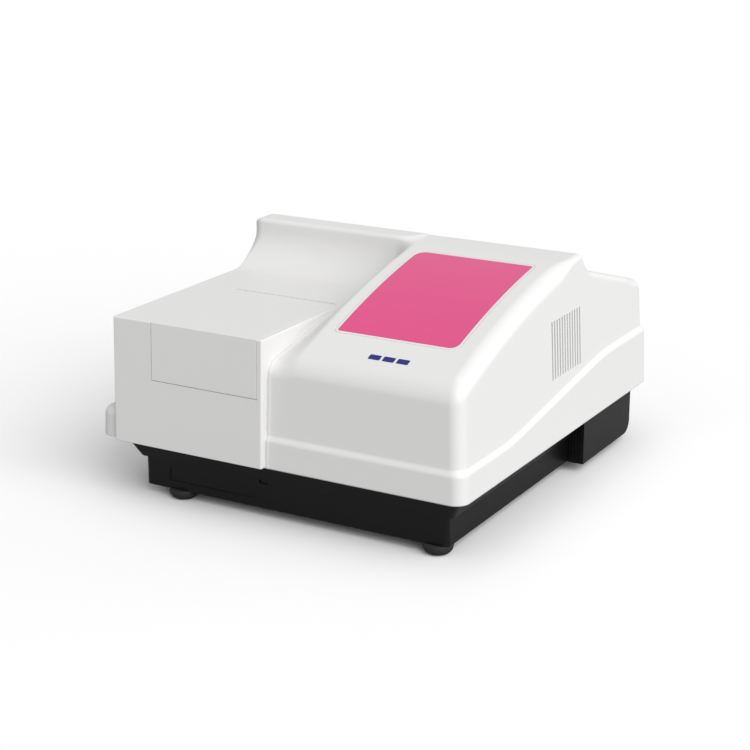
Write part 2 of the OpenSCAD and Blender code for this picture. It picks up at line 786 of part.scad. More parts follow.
module detector_sensor() {
  color("gold") {
    rod_x(-170, -163, sample_y, beam_z, 7.6);
    rod_x(-170, -168.5, sample_y, beam_z, 10);
  }
}

module detector_heat_sink() {
  color("black") {
    block([-183, -176, 120], [-148, -172, 160]);
    for (i = [0:6]) block([-182 + i * 5, -192, 120], [-180 + i * 5, -176, 160]);
  }
}

module detector_board() {
  color("green") block([-185, -125, 88], [-146, -123.4, 168]);
  color("black") {
    block([-182, -123.4, 140], [-168, -120, 154]);
    block([-164, -123.4, 120], [-152, -120.5, 132]);
    block([-162, -123.4, 94], [-144 - 4, -118, 104]);
  }
}

// ---- electronics under the bench ----

module main_board() {
  floor_z = base_z + base_wall;
  color("green") block([-164, 40, floor_z + 10], [30, 180, floor_z + 11.6]);
  color("black") {
    for (x = [-138, 22], y = [56, 172]) rod_z(x, y, floor_z, floor_z + 10, 3);
    block([-164, 42, floor_z + 11.6], [-146, 50, floor_z + 27]);
    block([-70, 90, floor_z + 11.6], [-42, 118, floor_z + 14.4]);
    block([-20, 70, floor_z + 11.6], [-2, 88, floor_z + 14]);
    block([-118, 60, floor_z + 11.6], [-84, 74, floor_z + 22]);
    for (i = [0:3]) block([-110 + i * 30, 160, floor_z + 11.6], [-92 + i * 30, 170, floor_z + 22]);
    for (i = [0:2]) rod_z(-120 + i * 16, 130, floor_z + 11.6, floor_z + 28, 5);
  }
}

module power_supply() {
  color("silver") difference() {
    block([50, 40, 18], [168, 180, 60]);
    block([51.2, 41.2, 19.2], [166.8, 178.8, 58.8]);
    for (i = [0:10], j = [0:7]) rod_z(60 + i * 9.8, 60 + j * 13, 57, 61, 2.6);
  }
  color("silver") for (x = [60, 158], y = [50, 170]) rod_z(x, y, base_z + base_wall, 18, 4);
}

// Flat cable from the detector board down through the bench to the main board
module ribbon_cable() {
  t = 1.2;
  color("lightgray") along_x(concat(
    [[-118, 99], [-118, 68]], arc(-112, 68, 6, 180, 270, 4), [[20, 62]],
    arc(20, 56, 6, 90, 0, 4), [[26, 42]], arc(32, 42, 6, 180, 270, 4), [[42, 36]],
    [[42, 36 + t]], arc(32, 42, 6 - t, 270, 180, 4), [[26 + t, 56]],
    arc(20, 56, 6 + t, 0, 90, 4), [[-112, 62 + t]], arc(-112, 68, 6 - t, 270, 180, 4),
    [[-118 + t, 99]]), -162, -148);
}

main_cover();
panel_overlay();
sample_lid();
lid_liner();
hinge_pin();
base_tray();
foot_front_left();
foot_front_right();
foot_rear_left();
foot_rear_right();
foot_screws();
cover_screws();
rear_panel();
panel_screws();
power_inlet();
inlet_blades();
fuse_drawer();
fuses();
switch_body();
power_rocker();
usb_port();
serial_port();
fan_frame();
fan_rotor();
fan_grille();
optical_bench();
bench_pillars();
bench_screws();
sample_tub();
tub_windows();
cell_holder();
beam_tube();
beam_lens();
monochromator_case();
monochromator_lid();
slit_plates();
collimating_mirror();
focusing_mirror();
mirror_mounts();
grating_motor();
grating_turntable();
grating();
relay_mirrors();
lamp_house();
lamp_socket();
halogen_lamp();
condenser_mirror();
chopper_motor();
chopper_disc();
filter_motor();
filter_wheel();
filters();
detector_case();
detector_sensor();
detector_heat_sink();
detector_board();
main_board();
power_supply();
ribbon_cable();
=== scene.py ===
"""Bench-top spectrophotometer: the visual pieces, materials, light and camera."""
import json
import math

import bmesh
import bpy
import numpy as np
from mathutils import Matrix, Vector

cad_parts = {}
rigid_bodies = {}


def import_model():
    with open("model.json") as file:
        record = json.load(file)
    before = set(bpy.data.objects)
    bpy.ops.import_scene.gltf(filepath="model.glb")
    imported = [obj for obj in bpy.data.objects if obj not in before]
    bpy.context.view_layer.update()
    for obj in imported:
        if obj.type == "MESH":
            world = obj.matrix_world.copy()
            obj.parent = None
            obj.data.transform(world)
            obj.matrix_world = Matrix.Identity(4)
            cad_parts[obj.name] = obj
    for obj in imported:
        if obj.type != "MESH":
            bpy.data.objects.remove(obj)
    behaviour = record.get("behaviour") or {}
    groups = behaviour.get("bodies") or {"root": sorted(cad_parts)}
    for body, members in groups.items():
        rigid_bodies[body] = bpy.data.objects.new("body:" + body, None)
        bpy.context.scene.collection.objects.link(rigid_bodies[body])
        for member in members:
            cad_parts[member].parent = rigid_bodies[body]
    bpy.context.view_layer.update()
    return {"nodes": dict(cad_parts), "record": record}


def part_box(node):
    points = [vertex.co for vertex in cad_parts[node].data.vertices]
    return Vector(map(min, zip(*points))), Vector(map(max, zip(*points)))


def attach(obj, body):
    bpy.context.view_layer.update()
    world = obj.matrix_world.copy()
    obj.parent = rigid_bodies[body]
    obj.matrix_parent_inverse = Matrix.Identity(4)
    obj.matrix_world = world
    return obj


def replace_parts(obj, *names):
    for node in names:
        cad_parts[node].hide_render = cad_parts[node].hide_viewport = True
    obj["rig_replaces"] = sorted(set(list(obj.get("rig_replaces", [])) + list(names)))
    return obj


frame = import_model()

MM = 0.001
HALF_W = 220.0            # half of the skirt's width
FRONT, REAR = -238.5, 238.5
MAIN_FRONT = FRONT + 6.2  # the sample box stands proud of the main front
SKIRT, DECK, RIDGE = 63.0, 199.7, 253.5
WALL = 3.0
BOX_X = (-195.1, -8.8)
BOX_DRAFT = math.tan(math.radians(2.1))
LID_X = (-146.0, -15.0)
LID_LOW = 137.0
HINGE = (-79.0, DECK - 3.0)
NOSE = 3.0
PANEL_X = (40.3, 177.1)
PANEL_Y = (-167.35, 8.75)
FILM_SEAT = 0.4           # depth of the panel's seat
GROOVE_REACH = (2.7, 3.4)  # the fine groove round the panel, from its edge
VENTS, VENT_PITCH, VENT_Y, VENT_Z = 12, 6.46, -14.0, (132.0, 195.5)
WINDOW = (-165.0, 165.0, 67.0, 122.0)
PANEL_SCREW_X = (-158, -60, 60, 158)
PANEL_SCREW_Z = (71, 118)
PANEL_SCREW_R, PANEL_SCREW_HEAD = 3.0, 1.7


# ---------------------------------------------------------------- cover shape

def round_max(a, b, r):
    """Where both solids are, with the edge between them rounded to radius r."""
    u = np.maximum(a + r, 0)
    v = np.maximum(b + r, 0)
    return np.minimum(np.maximum(a, b), -r) + np.sqrt(u * u + v * v)


def round_min(a, b, r):
    """Where either solid is, with the corner between them filled to radius r."""
    return -round_max(-a, -b, r)


def ease(t):
    t = np.clip(t, 0, 1)
    return t * t * (3 - 2 * t)


def ease_ramp(t):
    """A straight rise from 0 to 1 with softened ends."""
    w = 0.05
    return (np.sqrt(t * t + w * w) - np.sqrt((t - 1) ** 2 + w * w) + 1) / 2


def plan(x, y, x0, x1, y0, y1, r):
    """Distance to an upright wall with round corners."""
    qx = np.abs(x - (x0 + x1) / 2) - (x1 - x0) / 2 + r
    qy = np.abs(y - (y0 + y1) / 2) - (y1 - y0) / 2 + r
    return np.hypot(np.maximum(qx, 0), np.maximum(qy, 0)) + np.minimum(np.maximum(qx, qy), 0) - r


def hump_height(y):
    return 258.6 - 0.000545 * (y - 156.9) ** 2


def valley_height(y):
    """The floor left of the hump: it falls forwards from the deck's level."""
    back = y + 94
    return DECK - 0.1 * (np.sqrt(back * back + 225) - back)


def rear_table():
    """Height of the rear: ridge, drop, and the deck that slopes to the rear wall."""
    y = np.linspace(-270, 270, 2161)
    top = np.full_like(y, RIDGE)
    fall = (y > 60) & (y <= 72.12)
    top[fall] = RIDGE - 14 + np.sqrt(196 - (y[fall] - 60) ** 2)
    steep = (y > 72.12) & (y <= 73.96)
    top[steep] = RIDGE - 7 - 1.732 * (y[steep] - 72.12)
    hollow = (y > 73.96) & (y <= 97.3)
    top[hollow] = RIDGE + 10.5 - np.sqrt(1600 - (y[hollow] - 108.6) ** 2)
    back = y > 97.3
    top[back] = 225.7 - 0.2943 * (y[back] - 97.3)
    return y, top, 1 / np.sqrt(1 + np.gradient(top, y) ** 2)


REAR_Y, REAR_TOP, REAR_LEAN = rear_table()


def cover_distance(x, y, z, low=SKIRT):
    """Signed distance to the cover's outer surface, in millimetres, negative inside."""
    rise = z - SKIRT
    lean = 0.03 * rise
    corner = 14 - 9 * ease((y - 40) / 120)
    skirt = plan(x, y, lean - HALF_W, HALF_W - lean, MAIN_FRONT + lean, REAR - lean, corner)
    ledge = 96 + 34 * ease_ramp((y + 123) / 242)
    skirt = round_max(skirt, z - ledge, 5 + 4 * ease((-x - 150) / 40))
    skirt = round_max(skirt, low - z, 1.0)

    lean = 2.2 + 0.052 * rise
    upper = plan(x, y, BOX_X[0], HALF_W - lean, MAIN_FRONT + lean, REAR - lean, corner)
    hump = (z - hump_height(y)) * 0.95
    sweep = np.maximum(41 - np.hypot(y + 6.7, np.minimum(z - DECK - 41, 0)), -6.7 - y)
    left = np.minimum(z - valley_height(y), sweep)
    side = ease((x + 4) / 30)
    top = left * (1 - side) + hump * side
    rear = (z - np.interp(y, REAR_Y, REAR_TOP)) * np.interp(y, REAR_Y, REAR_LEAN)
    top = round_max(top, rear, 5)
    soft = 2 + 12 * ease((z - 205) / 30)
    soft = np.maximum(soft, 8 * ease((y - 62) / 20))
    right = 16 - 9 * ease((y - 5) / 45)
    soft = soft + (right - soft) * ease((x + 30) / 40)
    soft = soft + (10 - soft) * ease((y - 190) / 20)
    upper = round_max(upper, top, soft)
    upper = np.maximum(upper, low - z)
    body = round_min(skirt, upper, 3)

    front = FRONT + rise * BOX_DRAFT - y
    box = round_max(np.maximum(x - BOX_X[1], BOX_X[0] - x), front, 1.8)
    box = round_max(box, z - DECK, 1.4)
    box = round_max(box, low - z, 0.8)
    box = np.maximum(box, y - 20)
    fill = np.clip((DECK - valley_height(y)) * 0.8, 0.3, 6) * ease((x - BOX_X[1]) / 4) + 0.01
    return round_min(body, box, fill)


def cover_gradient(p):
    h = 0.02
    g = np.empty_like(p)
    for a in range(3):
        step = np.zeros(3)
        step[a] = h
        ahead = cover_distance(*(p + step).T)
        behind = cover_distance(*(p - step).T)
        g[:, a] = (ahead - behind) / (2 * h)
    return g


def stations(*runs):
    """Grid lines: each run is (start, end, spacing)."""
    lines = []
    for start, end, step in runs:
        count = max(1, round((end - start) / step))
        lines += list(np.linspace(start, end, count, endpoint=False))
    return np.array(lines + [runs[-1][1]])


def surface_net(field, xs, ys, zs, settle=5):
    """A closed quad mesh on the zero surface of a field, sampled on unequal grid lines."""
    v = field(*np.meshgrid(xs, ys, zs, indexing="ij"))
    inside = v < 0
    nx, ny, nz = v.shape
    filled = sum(inside[i:nx - 1 + i, j:ny - 1 + j, k:nz - 1 + k].astype(np.int8)
                 for i in (0, 1) for j in (0, 1) for k in (0, 1))
    active = (filled > 0) & (filled < 8)
    index = np.full(active.shape, -1)
    index[active] = np.arange(active.sum())
    cell = np.argwhere(active)
    lines = (xs, ys, zs)
    total = np.zeros((len(cell), 3))
    hits = np.zeros(len(cell))
    for axis in range(3):
        for a in (0, 1):
            for b in (0, 1):
                start = cell.copy()
                start[:, (axis + 1) % 3] += a
                start[:, (axis + 2) % 3] += b
                end = start.copy()
                end[:, axis] += 1
                v0 = v[tuple(start.T)]
                v1 = v[tuple(end.T)]
                cross = (v0 < 0) != (v1 < 0)
                t = np.where(cross, v0 / np.where(cross, v0 - v1, 1), 0)
                p0 = np.stack([lines[c][start[:, c]] for c in range(3)], 1)
                p1 = np.stack([lines[c][end[:, c]] for c in range(3)], 1)
                total += (p0 + (p1 - p0) * t[:, None]) * cross[:, None]
                hits += cross
    points = total / hits[:, None]
    faces = []
    for axis in range(3):
        b, c = (axis + 1) % 3, (axis + 2) % 3
        order = (axis, b, c)
        turned = inside.transpose(order)
        cells = index.transpose(order)
        change = turned[:-1, 1:-1, 1:-1] != turned[1:, 1:-1, 1:-1]
        i, j, k = (n for n in np.nonzero(change))
        quad = np.stack([cells[i, j, k], cells[i, j + 1, k], cells[i, j + 1, k + 1], cells[i, j, k + 1]], 1)
        outward = turned[i, j + 1, k + 1]
        quad[~outward] = quad[~outward][:, ::-1]
        faces.append(quad)
    reach = min(np.diff(xs).min(), np.diff(ys).min(), np.diff(zs).min())
    for _ in range(settle):
        h = 0.02
        d = field(*points.T)
        g = np.stack([(field(*(points + np.eye(3)[a] * h).T) - d) / h for a in range(3)], 1)
        move = -d[:, None] * g / np.maximum((g * g).sum(1), 0.2)[:, None]
        points = points + np.clip(move, -reach, reach)
    return points, np.concatenate(faces)


# ---------------------------------------------------------------- mesh helpers

def mesh_piece(name, points, faces):
    mesh = bpy.data.meshes.new(name)
    corners = [tuple(p) for p in np.asarray(points, float) * MM]
    mesh.from_pydata(corners, [], [tuple(int(i) for i in face) for face in faces])
    mesh.update()
    piece = bpy.data.objects.new(name, mesh)
    bpy.context.collection.objects.link(piece)
    return piece


def from_bmesh(name, bm):
    mesh = bpy.data.meshes.new(name)
    bmesh.ops.recalc_face_normals(bm, faces=bm.faces)
    bm.to_mesh(mesh)
    bm.free()
    piece = bpy.data.objects.new(name, mesh)
    bpy.context.collection.objects.link(piece)
    return piece


def settle_modifiers(piece):
    """Turns a piece and its modifiers into a plain mesh."""
    bpy.context.view_layer.update()
    shown = piece.evaluated_get(bpy.context.evaluated_depsgraph_get())
    mesh = bpy.data.meshes.new_from_object(shown)
    piece.modifiers.clear()
    piece.data = mesh
    return piece


def smooth(piece, angle=35):
    """Smooth shading that leaves large faces flat and edges over the angle sharp."""
    mesh = piece.data
    mesh.shade_smooth()
    mesh.set_sharp_from_angle(angle=math.radians(angle))
    m = piece.modifiers.new("flat_faces", "WEIGHTED_NORMAL")
    m.keep_sharp = True
    m.weight = 80
    settle_modifiers(piece)
    return piece


def dress(piece, material):
    piece.data.materials.clear()
    piece.data.materials.append(material)
    return piece


def prism(name, outline, start, end, axis):
    """An outline carried from start to end along an axis: 'x' takes (y, z), 'z' takes (x, y)."""
    n = len(outline)
    points = []
    for level in (start, end):
        for a, b in outline:
            points.append((level, a, b) if axis == "x" else (a, b, level))
    faces = [tuple(range(n))[::-1], tuple(range(n, 2 * n))]
    faces += [(i, (i + 1) % n, (i + 1) % n + n, i + n) for i in range(n)]
    piece = mesh_piece(name, points, faces)
    bm = bmesh.new()
    bm.from_mesh(piece.data)
    bmesh.ops.recalc_face_normals(bm, faces=bm.faces)
    bm.to_mesh(piece.data)
    bm.free()
    return piece


def block(name, low, high):
    outline = [(low[1], low[2]), (high[1], low[2]), (high[1], high[2]), (low[1], high[2])]
    return prism(name, outline, low[0], high[0], "x")


def arc(cx, cy, r, a0, a1, n):
    angles = [math.radians(a0 + (a1 - a0) * i / n) for i in range(n + 1)]
    return [(cx + r * math.cos(a), cy + r * math.sin(a)) for a in angles]


def cornered(x0, x1, y0, y1, radii, n=8):
    """Rectangle outline; radii go right-rear, left-rear, left-front, right-front."""
    a, b, c, d = radii
    return (arc(x1 - a, y1 - a, a, 0, 90, n) + arc(x0 + b, y1 - b, b, 90, 180, n)
            + arc(x0 + c, y0 + c, c, 180, 270, n) + arc(x1 - d, y0 + d, d, 270, 360, n))


def cut(piece, *tools, keep="DIFFERENCE"):
    """Boolean of the piece with each tool in turn; the tools are removed."""
    for tool in tools:
        m = piece.modifiers.new("cut", "BOOLEAN")
        m.operation = keep
        m.solver = "MANIFOLD"
        m.object = tool
        settle_modifiers(piece)
        bpy.data.objects.remove(tool)
    return piece


def bevel(piece, width, segments=2, angle=35):
    m = piece.modifiers.new("edge", "BEVEL")
    m.width = width * MM
    m.segments = segments
    m.limit_method = "ANGLE"
    m.angle_limit = math.radians(angle)
    m.use_clamp_overlap = True
    m.miter_outer = "MITER_ARC"
    settle_modifiers(piece)
    return piece


def finish(piece, body, slot, material, *nodes):
    dress(piece, material)
    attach(piece, body)
    if nodes:
        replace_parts(piece, *nodes)
    return piece


def seated_outline(margin):
    return cornered(PANEL_X[0] - margin, PANEL_X[1] + margin, PANEL_Y[0] - margin,
                    PANEL_Y[1] + margin, (3 + margin, 11 + margin, 3 + margin, 9 + margin))


def hump_slab(name, low, high):
    """A curved slab that follows the hump, low and high measured from its surface."""
    ys = list(np.linspace(-208, 30, 60))
    outline = [(y, hump_height(y) + low) for y in ys] + [(y, hump_height(y) + high) for y in ys[::-1]]
    return prism(name, outline, 25, 195, "x")


def make_cover():
    xs = stations((-223, -214, 1.2), (-214, -200, 2.5), (-200, -190, 0.7), (-190, -176, 2), (-176, -20, 8),
                  (-20, -12, 2), (-12, -2, 0.7), (-2, 30, 1.8), (30, 190, 7.5),
                  (190, 206, 2), (206, 222, 1.2))
    ys = stations((-241, -226, 0.8), (-226, -206, 1.6), (-206, -12, 4.5), (-12, 28, 2.2), (28, 42, 0.9),
                  (42, 58, 2.5), (58, 100, 1.8), (100, 196, 6), (196, 226, 2), (226, 241, 1.1))
    zs = stations((60.5, 68, 0.6), (68, 86, 4), (86, 136, 1.2), (136, 168, 4), (168, 196, 1.9),
                  (196, 202, 0.6), (202, 240, 2.2), (240, 256, 0.9))
    cover = mesh_piece("cover_shell", *surface_net(cover_distance, xs, ys, zs))

    def hollow(x, y, z):
        return cover_distance(x, y, z, low=40) + WALL

    coarse = surface_net(hollow, stations((-224, -180, 4), (-180, -20, 10), (-20, 32, 4), (32, 224, 8)),
                         stations((-242, -210, 4), (-210, -10, 9), (-10, 110, 4), (110, 242, 7)),
                         stations((34, 80, 8), (80, 140, 4), (140, 258, 4)), settle=3)
    cavity = mesh_piece("cavity", *coarse)
    flap_gap, deck_gap = 0.5, 0.3
    flap_hole = block("flap_hole", (LID_X[0] - flap_gap, FRONT - 3, LID_LOW - flap_gap),
                      (LID_X[1] + flap_gap, FRONT + 7, DECK + 3))
    deck_hole = block("deck_hole", (LID_X[0] - deck_gap, FRONT + 6, LID_LOW - flap_gap),
                      (LID_X[1] + deck_gap, HINGE[0] + NOSE + deck_gap, DECK + 3))
    seat = hump_slab("seat_slab", -FILM_SEAT, 8)
    cut(seat, prism("seat_plan", seated_outline(0.15), 150, 280, "z"), keep="INTERSECT")
    groove = hump_slab("groove_slab", -1.0, 8)
    cut(groove, prism("groove_plan", seated_outline(GROOVE_REACH[1]), 150, 280, "z"), keep="INTERSECT")
    cut(groove, prism("groove_core", seated_outline(GROOVE_REACH[0]), 140, 290, "z"))
    window = block("window", (WINDOW[0], REAR - 12, WINDOW[2]), (WINDOW[1], REAR + 6, WINDOW[3]))
    vents = bar_row("vents", VENTS, (213, VENT_Y, sum(VENT_Z) / 2), (0, VENT_PITCH, 0),
                    (26, 2.8, VENT_Z[1] - VENT_Z[0]), "white_plastic")
    cut(cover, cavity, flap_hole, deck_hole, seat, groove, window, vents)
    shade_cover(cover)
    return cover


def shade_cover(cover):
    """Exact normals on the moulded surfaces, flat ones on the cut edges."""
    mesh = cover.data
    points = np.empty(len(mesh.vertices) * 3)
    mesh.vertices.foreach_get("co", points)
    points = points.reshape(-1, 3) / MM
    away = cover_distance(*points.T)
    slope = cover_gradient(points)
    slope /= np.maximum(np.linalg.norm(slope, axis=1), 1e-6)[:, None]
    corner = np.empty(len(mesh.loops), int)
    mesh.loops.foreach_get("vertex_index", corner)
    flat = np.empty(len(mesh.polygons) * 3)
    mesh.polygons.foreach_get("normal", flat)
    flat = flat.reshape(-1, 3)
    sizes = np.empty(len(mesh.polygons), int)
    mesh.polygons.foreach_get("loop_total", sizes)
    face = np.repeat(np.arange(len(mesh.polygons)), sizes)
    normals = flat[face]
    turn = (normals * slope[corner]).sum(1)
    outer = (np.abs(away[corner]) < 0.1) & (turn > 0.8)
    inner = (np.abs(away[corner] + WALL) < 0.7) & (turn < -0.8)
    normals[outer] = slope[corner][outer]
    normals[inner] = -slope[corner][inner]
    mesh.polygons.foreach_set("use_smooth", np.ones(len(mesh.polygons), bool))
    mesh.normals_split_custom_set([tuple(n) for n in normals])
    mesh.update()


def make_lid():
    def front(z):
        return FRONT + (z - SKIRT) * BOX_DRAFT

    hy, hz = HINGE
    outline = [(front(LID_LOW), LID_LOW), (front(DECK), DECK)]
    outline += arc(hy, hz, NOSE, 90, -90, 12)
    outline += [(hy - 5, hz - NOSE), (hy - 8, hz), (front(DECK) + WALL, hz), (front(LID_LOW) + WALL, LID_LOW)]
    lid = prism("lid_shell", outline, LID_X[0], LID_X[1], "x")
    ribs = [block("rib", (x - 1, -222, hz - 2.1), (x + 1, -93, hz + 1)) for x in (LID_X[0] + 3, LID_X[1] - 3)]
    cut(lid, *ribs, keep="UNION")
    bevel(lid, 0.55, 3, 30)
    return smooth(lid, 40)


def make_film():
    film = hump_slab("panel_film", -FILM_SEAT, -0.05)
    cut(film, prism("film_plan", seated_outline(0), 150, 280, "z"), keep="INTERSECT")
    return smooth(film, 30)


def make_badge():
    """Three equal upright bars of raised film, a plain mark with no letters."""
    left, front, width, depth, pitch = 96, -202, 13, 7, 16
    bars = []
    for i in range(3):
        x = left + i * pitch
        bars.append(prism("bar", cornered(x, x + width, front, front + depth, (1, 1, 1, 1)), 150, 280, "z"))
    badge = cut(bars[0], *bars[1:], keep="UNION")
    cut(badge, hump_slab("badge_slab", -0.1, 0.25), keep="INTERSECT")
    badge.name = "badge_bars"
    return smooth(badge, 30)


def softened(node, width, name=None, angle=30):
    """A copy of a CAD piece with its edges broken, as moulding and machining leave them."""
    source = frame["nodes"][node]
    bm = bmesh.new()
    bm.from_mesh(source.data)
    bmesh.ops.remove_doubles(bm, verts=bm.verts, dist=2e-6)
    bmesh.ops.dissolve_limit(bm, angle_limit=math.radians(0.5), verts=bm.verts, edges=bm.edges)
    mesh = bpy.data.meshes.new(name or node)
    bm.to_mesh(mesh)
    bm.free()
    piece = bpy.data.objects.new(name or node + "_piece", mesh)
    bpy.context.collection.objects.link(piece)
    bevel(piece, width, 2, angle)
    return smooth(piece, 40)


def turned(name, profile, centre, axis="z", steps=48):
    """A round piece from a closed (radius, height) profile."""
    bm = bmesh.new()
    rings = []
    for r, h in profile:
        if r < 1e-6:
            rings.append([bm.verts.new((0, 0, h * MM))])
        else:
            angles = [2 * math.pi * i / steps for i in range(steps)]
            rings.append([bm.verts.new((r * MM * math.cos(a), r * MM * math.sin(a), h * MM)) for a in angles])
    for a, b in zip(rings, rings[1:] + rings[:1]):
        for i in range(steps):
            j = (i + 1) % steps
            quad = [a[i % len(a)], a[j % len(a)], b[j % len(b)], b[i % len(b)]]
            unique = list(dict.fromkeys(quad))
            if len(unique) > 2:
                bm.faces.new(unique)
    turn = {"z": Matrix.Identity(4), "x": Matrix.Rotation(math.radians(90), 4, "Y"),
            "y": Matrix.Rotation(math.radians(-90), 4, "X")}[axis]
    bm.transform(Matrix.Translation(Vector(centre) * MM) @ turn)
    return from_bmesh(name, bm)


def make_foot(node):
    low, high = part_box(node)
    cx, cy = (low.x + high.x) / 2 / MM, (low.y + high.y) / 2 / MM
    r = (high.x - low.x) / 2 / MM
    top = high.z / MM
    round_off = top - 2.5
    profile = [(2.2, top), (r - 0.3, top), (r, top - 0.4), (r, round_off)]
    profile += [(r - round_off * (1 - math.cos(a)), round_off - round_off * math.sin(a))
                for a in np.linspace(0.15, math.pi / 2, 10)]
    profile += [(4.8, 0), (4.5, 0.3), (4.5, 4.6), (2.2, 4.6)]
    return smooth(turned(node + "_rubber", profile, (cx, cy, 0)), 40)


# ---------------------------------------------------------------- material groups

def group(name, sockets_in, sockets_out):
    """A node group with named inputs {name: default} and outputs [(name, kind)]."""
    tree = bpy.data.node_groups.new(name, "ShaderNodeTree")
    for label, value in sockets_in.items():
        kind = "NodeSocketColor" if isinstance(value, tuple) else "NodeSocketFloat"
        socket = tree.interface.new_socket(label, in_out="INPUT", socket_type=kind)
        socket.default_value = value
    for label, kind in sockets_out:
        tree.interface.new_socket(label, in_out="OUTPUT", socket_type=kind)
    return tree, tree.nodes.new("NodeGroupInput"), tree.nodes.new("NodeGroupOutput")


def noise(tree, scale, detail=3.0, vector=None, rough=0.55):
    node = tree.nodes.new("ShaderNodeTexNoise")
    node.inputs["Detail"].default_value = detail
    node.inputs["Roughness"].default_value = rough
    if isinstance(scale, (int, float)):
        node.inputs["Scale"].default_value = scale
    else:
        tree.links.new(scale, node.inputs["Scale"])
    if vector is not None:
        tree.links.new(vector, node.inputs["Vector"])
    return node.outputs["Fac"]


def math_node(tree, op, a, b=None, clamp=False):
    node = tree.nodes.new("ShaderNodeMath")
    node.operation = op
    node.use_clamp = clamp
    for i, value in enumerate((a, b)):
        if value is None:
            continue
        if isinstance(value, (int, float)):
            node.inputs[i].default_value = value
        else:
            tree.links.new(value, node.inputs[i])
    return node.outputs[0]


def mix_colour(tree, factor, a, b):
    node = tree.nodes.new("ShaderNodeMix")
    node.data_type = "RGBA"
    for socket, value in ((node.inputs[0], factor), (node.inputs[6], a), (node.inputs[7], b)):
        if isinstance(value, (tuple, list, float, int)):
            socket.default_value = value
        else:
            tree.links.new(value, socket)
    return node.outputs[2]


def place(tree):
    return tree.nodes.new("ShaderNodeTexCoord").outputs["Object"]


def build_moulded_skin():
    """Spark-eroded mould texture with slow tone drift, as a height, a tint and a gloss change."""
    values = {"Grain Size": 1400.0, "Drift Size": 6.0, "Tint": 0.03, "Gloss Change": 0.06}
    results = [(label, "NodeSocketFloat") for label in ("Height", "Shade", "Gloss")]
    tree, gin, gout = group("moulded_skin", values, results)
    where = place(tree)
    fine = noise(tree, gin.outputs["Grain Size"], 2, where)
    pits = tree.nodes.new("ShaderNodeTexVoronoi")
    tree.links.new(where, pits.inputs["Vector"])
    tree.links.new(gin.outputs["Grain Size"], pits.inputs["Scale"])
    height = math_node(tree, "ADD", fine, math_node(tree, "MULTIPLY", pits.outputs["Distance"], 0.5))
    tree.links.new(height, gout.inputs["Height"])
    slow = math_node(tree, "SUBTRACT", noise(tree, gin.outputs["Drift Size"], 4, where), 0.5)
    shade = math_node(tree, "ADD", math_node(tree, "MULTIPLY", slow, gin.outputs["Tint"]), 1.0)
    tree.links.new(shade, gout.inputs["Shade"])
    wipe = math_node(tree, "SUBTRACT", noise(tree, 28.0, 5, where, 0.7), 0.5)
    tree.links.new(math_node(tree, "MULTIPLY", wipe, gin.outputs["Gloss Change"]), gout.inputs["Gloss"])
    return tree


def build_edge_wear():
    """Mask that is strong on edges, broken up by noise."""
    tree, gin, gout = group("edge_wear", {"Reach": 0.8, "Breakup": 180.0}, [("Mask", "NodeSocketFloat")])
    rounded = tree.nodes.new("ShaderNodeBevel")
    rounded.samples = 3
    tree.links.new(math_node(tree, "MULTIPLY", gin.outputs["Reach"], MM), rounded.inputs["Radius"])
    geometry = tree.nodes.new("ShaderNodeNewGeometry")
    agree = tree.nodes.new("ShaderNodeVectorMath")
    agree.operation = "DOT_PRODUCT"
    tree.links.new(rounded.outputs["Normal"], agree.inputs[0])
    tree.links.new(geometry.outputs["Normal"], agree.inputs[1])
    apart = math_node(tree, "SUBTRACT", 1.0, agree.outputs["Value"])
    edge = math_node(tree, "MULTIPLY", apart, 6.0, clamp=True)
    spots = noise(tree, gin.outputs["Breakup"], 4, place(tree))
    spots = math_node(tree, "MULTIPLY", math_node(tree, "SUBTRACT", spots, 0.42), 4.0, clamp=True)
    tree.links.new(math_node(tree, "MULTIPLY", edge, spots), gout.inputs["Mask"])
    return tree


def build_settled_dust():
    """Mask for fine dust on faces that look up."""
    tree, gin, gout = group("settled_dust", {"Amount": 0.1}, [("Mask", "NodeSocketFloat")])
    geometry = tree.nodes.new("ShaderNodeNewGeometry")
    split = tree.nodes.new("ShaderNodeSeparateXYZ")
    tree.links.new(geometry.outputs["Normal"], split.inputs[0])
    up = math_node(tree, "POWER", math_node(tree, "MAXIMUM", split.outputs["Z"], 0.0), 3.0)
    speck = noise(tree, 900.0, 2, place(tree))
    speck = math_node(tree, "MULTIPLY", math_node(tree, "SUBTRACT", speck, 0.45), 3.0, clamp=True)
    mask = math_node(tree, "MULTIPLY", math_node(tree, "MULTIPLY", up, speck), gin.outputs["Amount"])
    tree.links.new(mask, gout.inputs["Mask"])
    return tree


def build_machined_lines():
    """Fine parallel tool marks along one direction."""
    tree, gin, gout = group("machined_lines", {"Across X": 60.0, "Across Y": 2400.0, "Across Z": 2400.0},
                            [("Height", "NodeSocketFloat"), ("Shade", "NodeSocketFloat")])
    join = tree.nodes.new("ShaderNodeCombineXYZ")
    for i, label in enumerate(("Across X", "Across Y", "Across Z")):
        tree.links.new(gin.outputs[label], join.inputs[i])
    stretch = tree.nodes.new("ShaderNodeVectorMath")
    stretch.operation = "MULTIPLY"
    tree.links.new(place(tree), stretch.inputs[0])
    tree.links.new(join.outputs[0], stretch.inputs[1])
    lines = noise(tree, 1.0, 3, stretch.outputs[0])
    tree.links.new(lines, gout.inputs["Height"])
    shade = math_node(tree, "ADD", math_node(tree, "MULTIPLY", lines, 0.16), 0.92)
    tree.links.new(shade, gout.inputs["Shade"])
    return tree


MOULDED_SKIN = build_moulded_skin()
EDGE_WEAR = build_edge_wear()
SETTLED_DUST = build_settled_dust()
MACHINED_LINES = build_machined_lines()


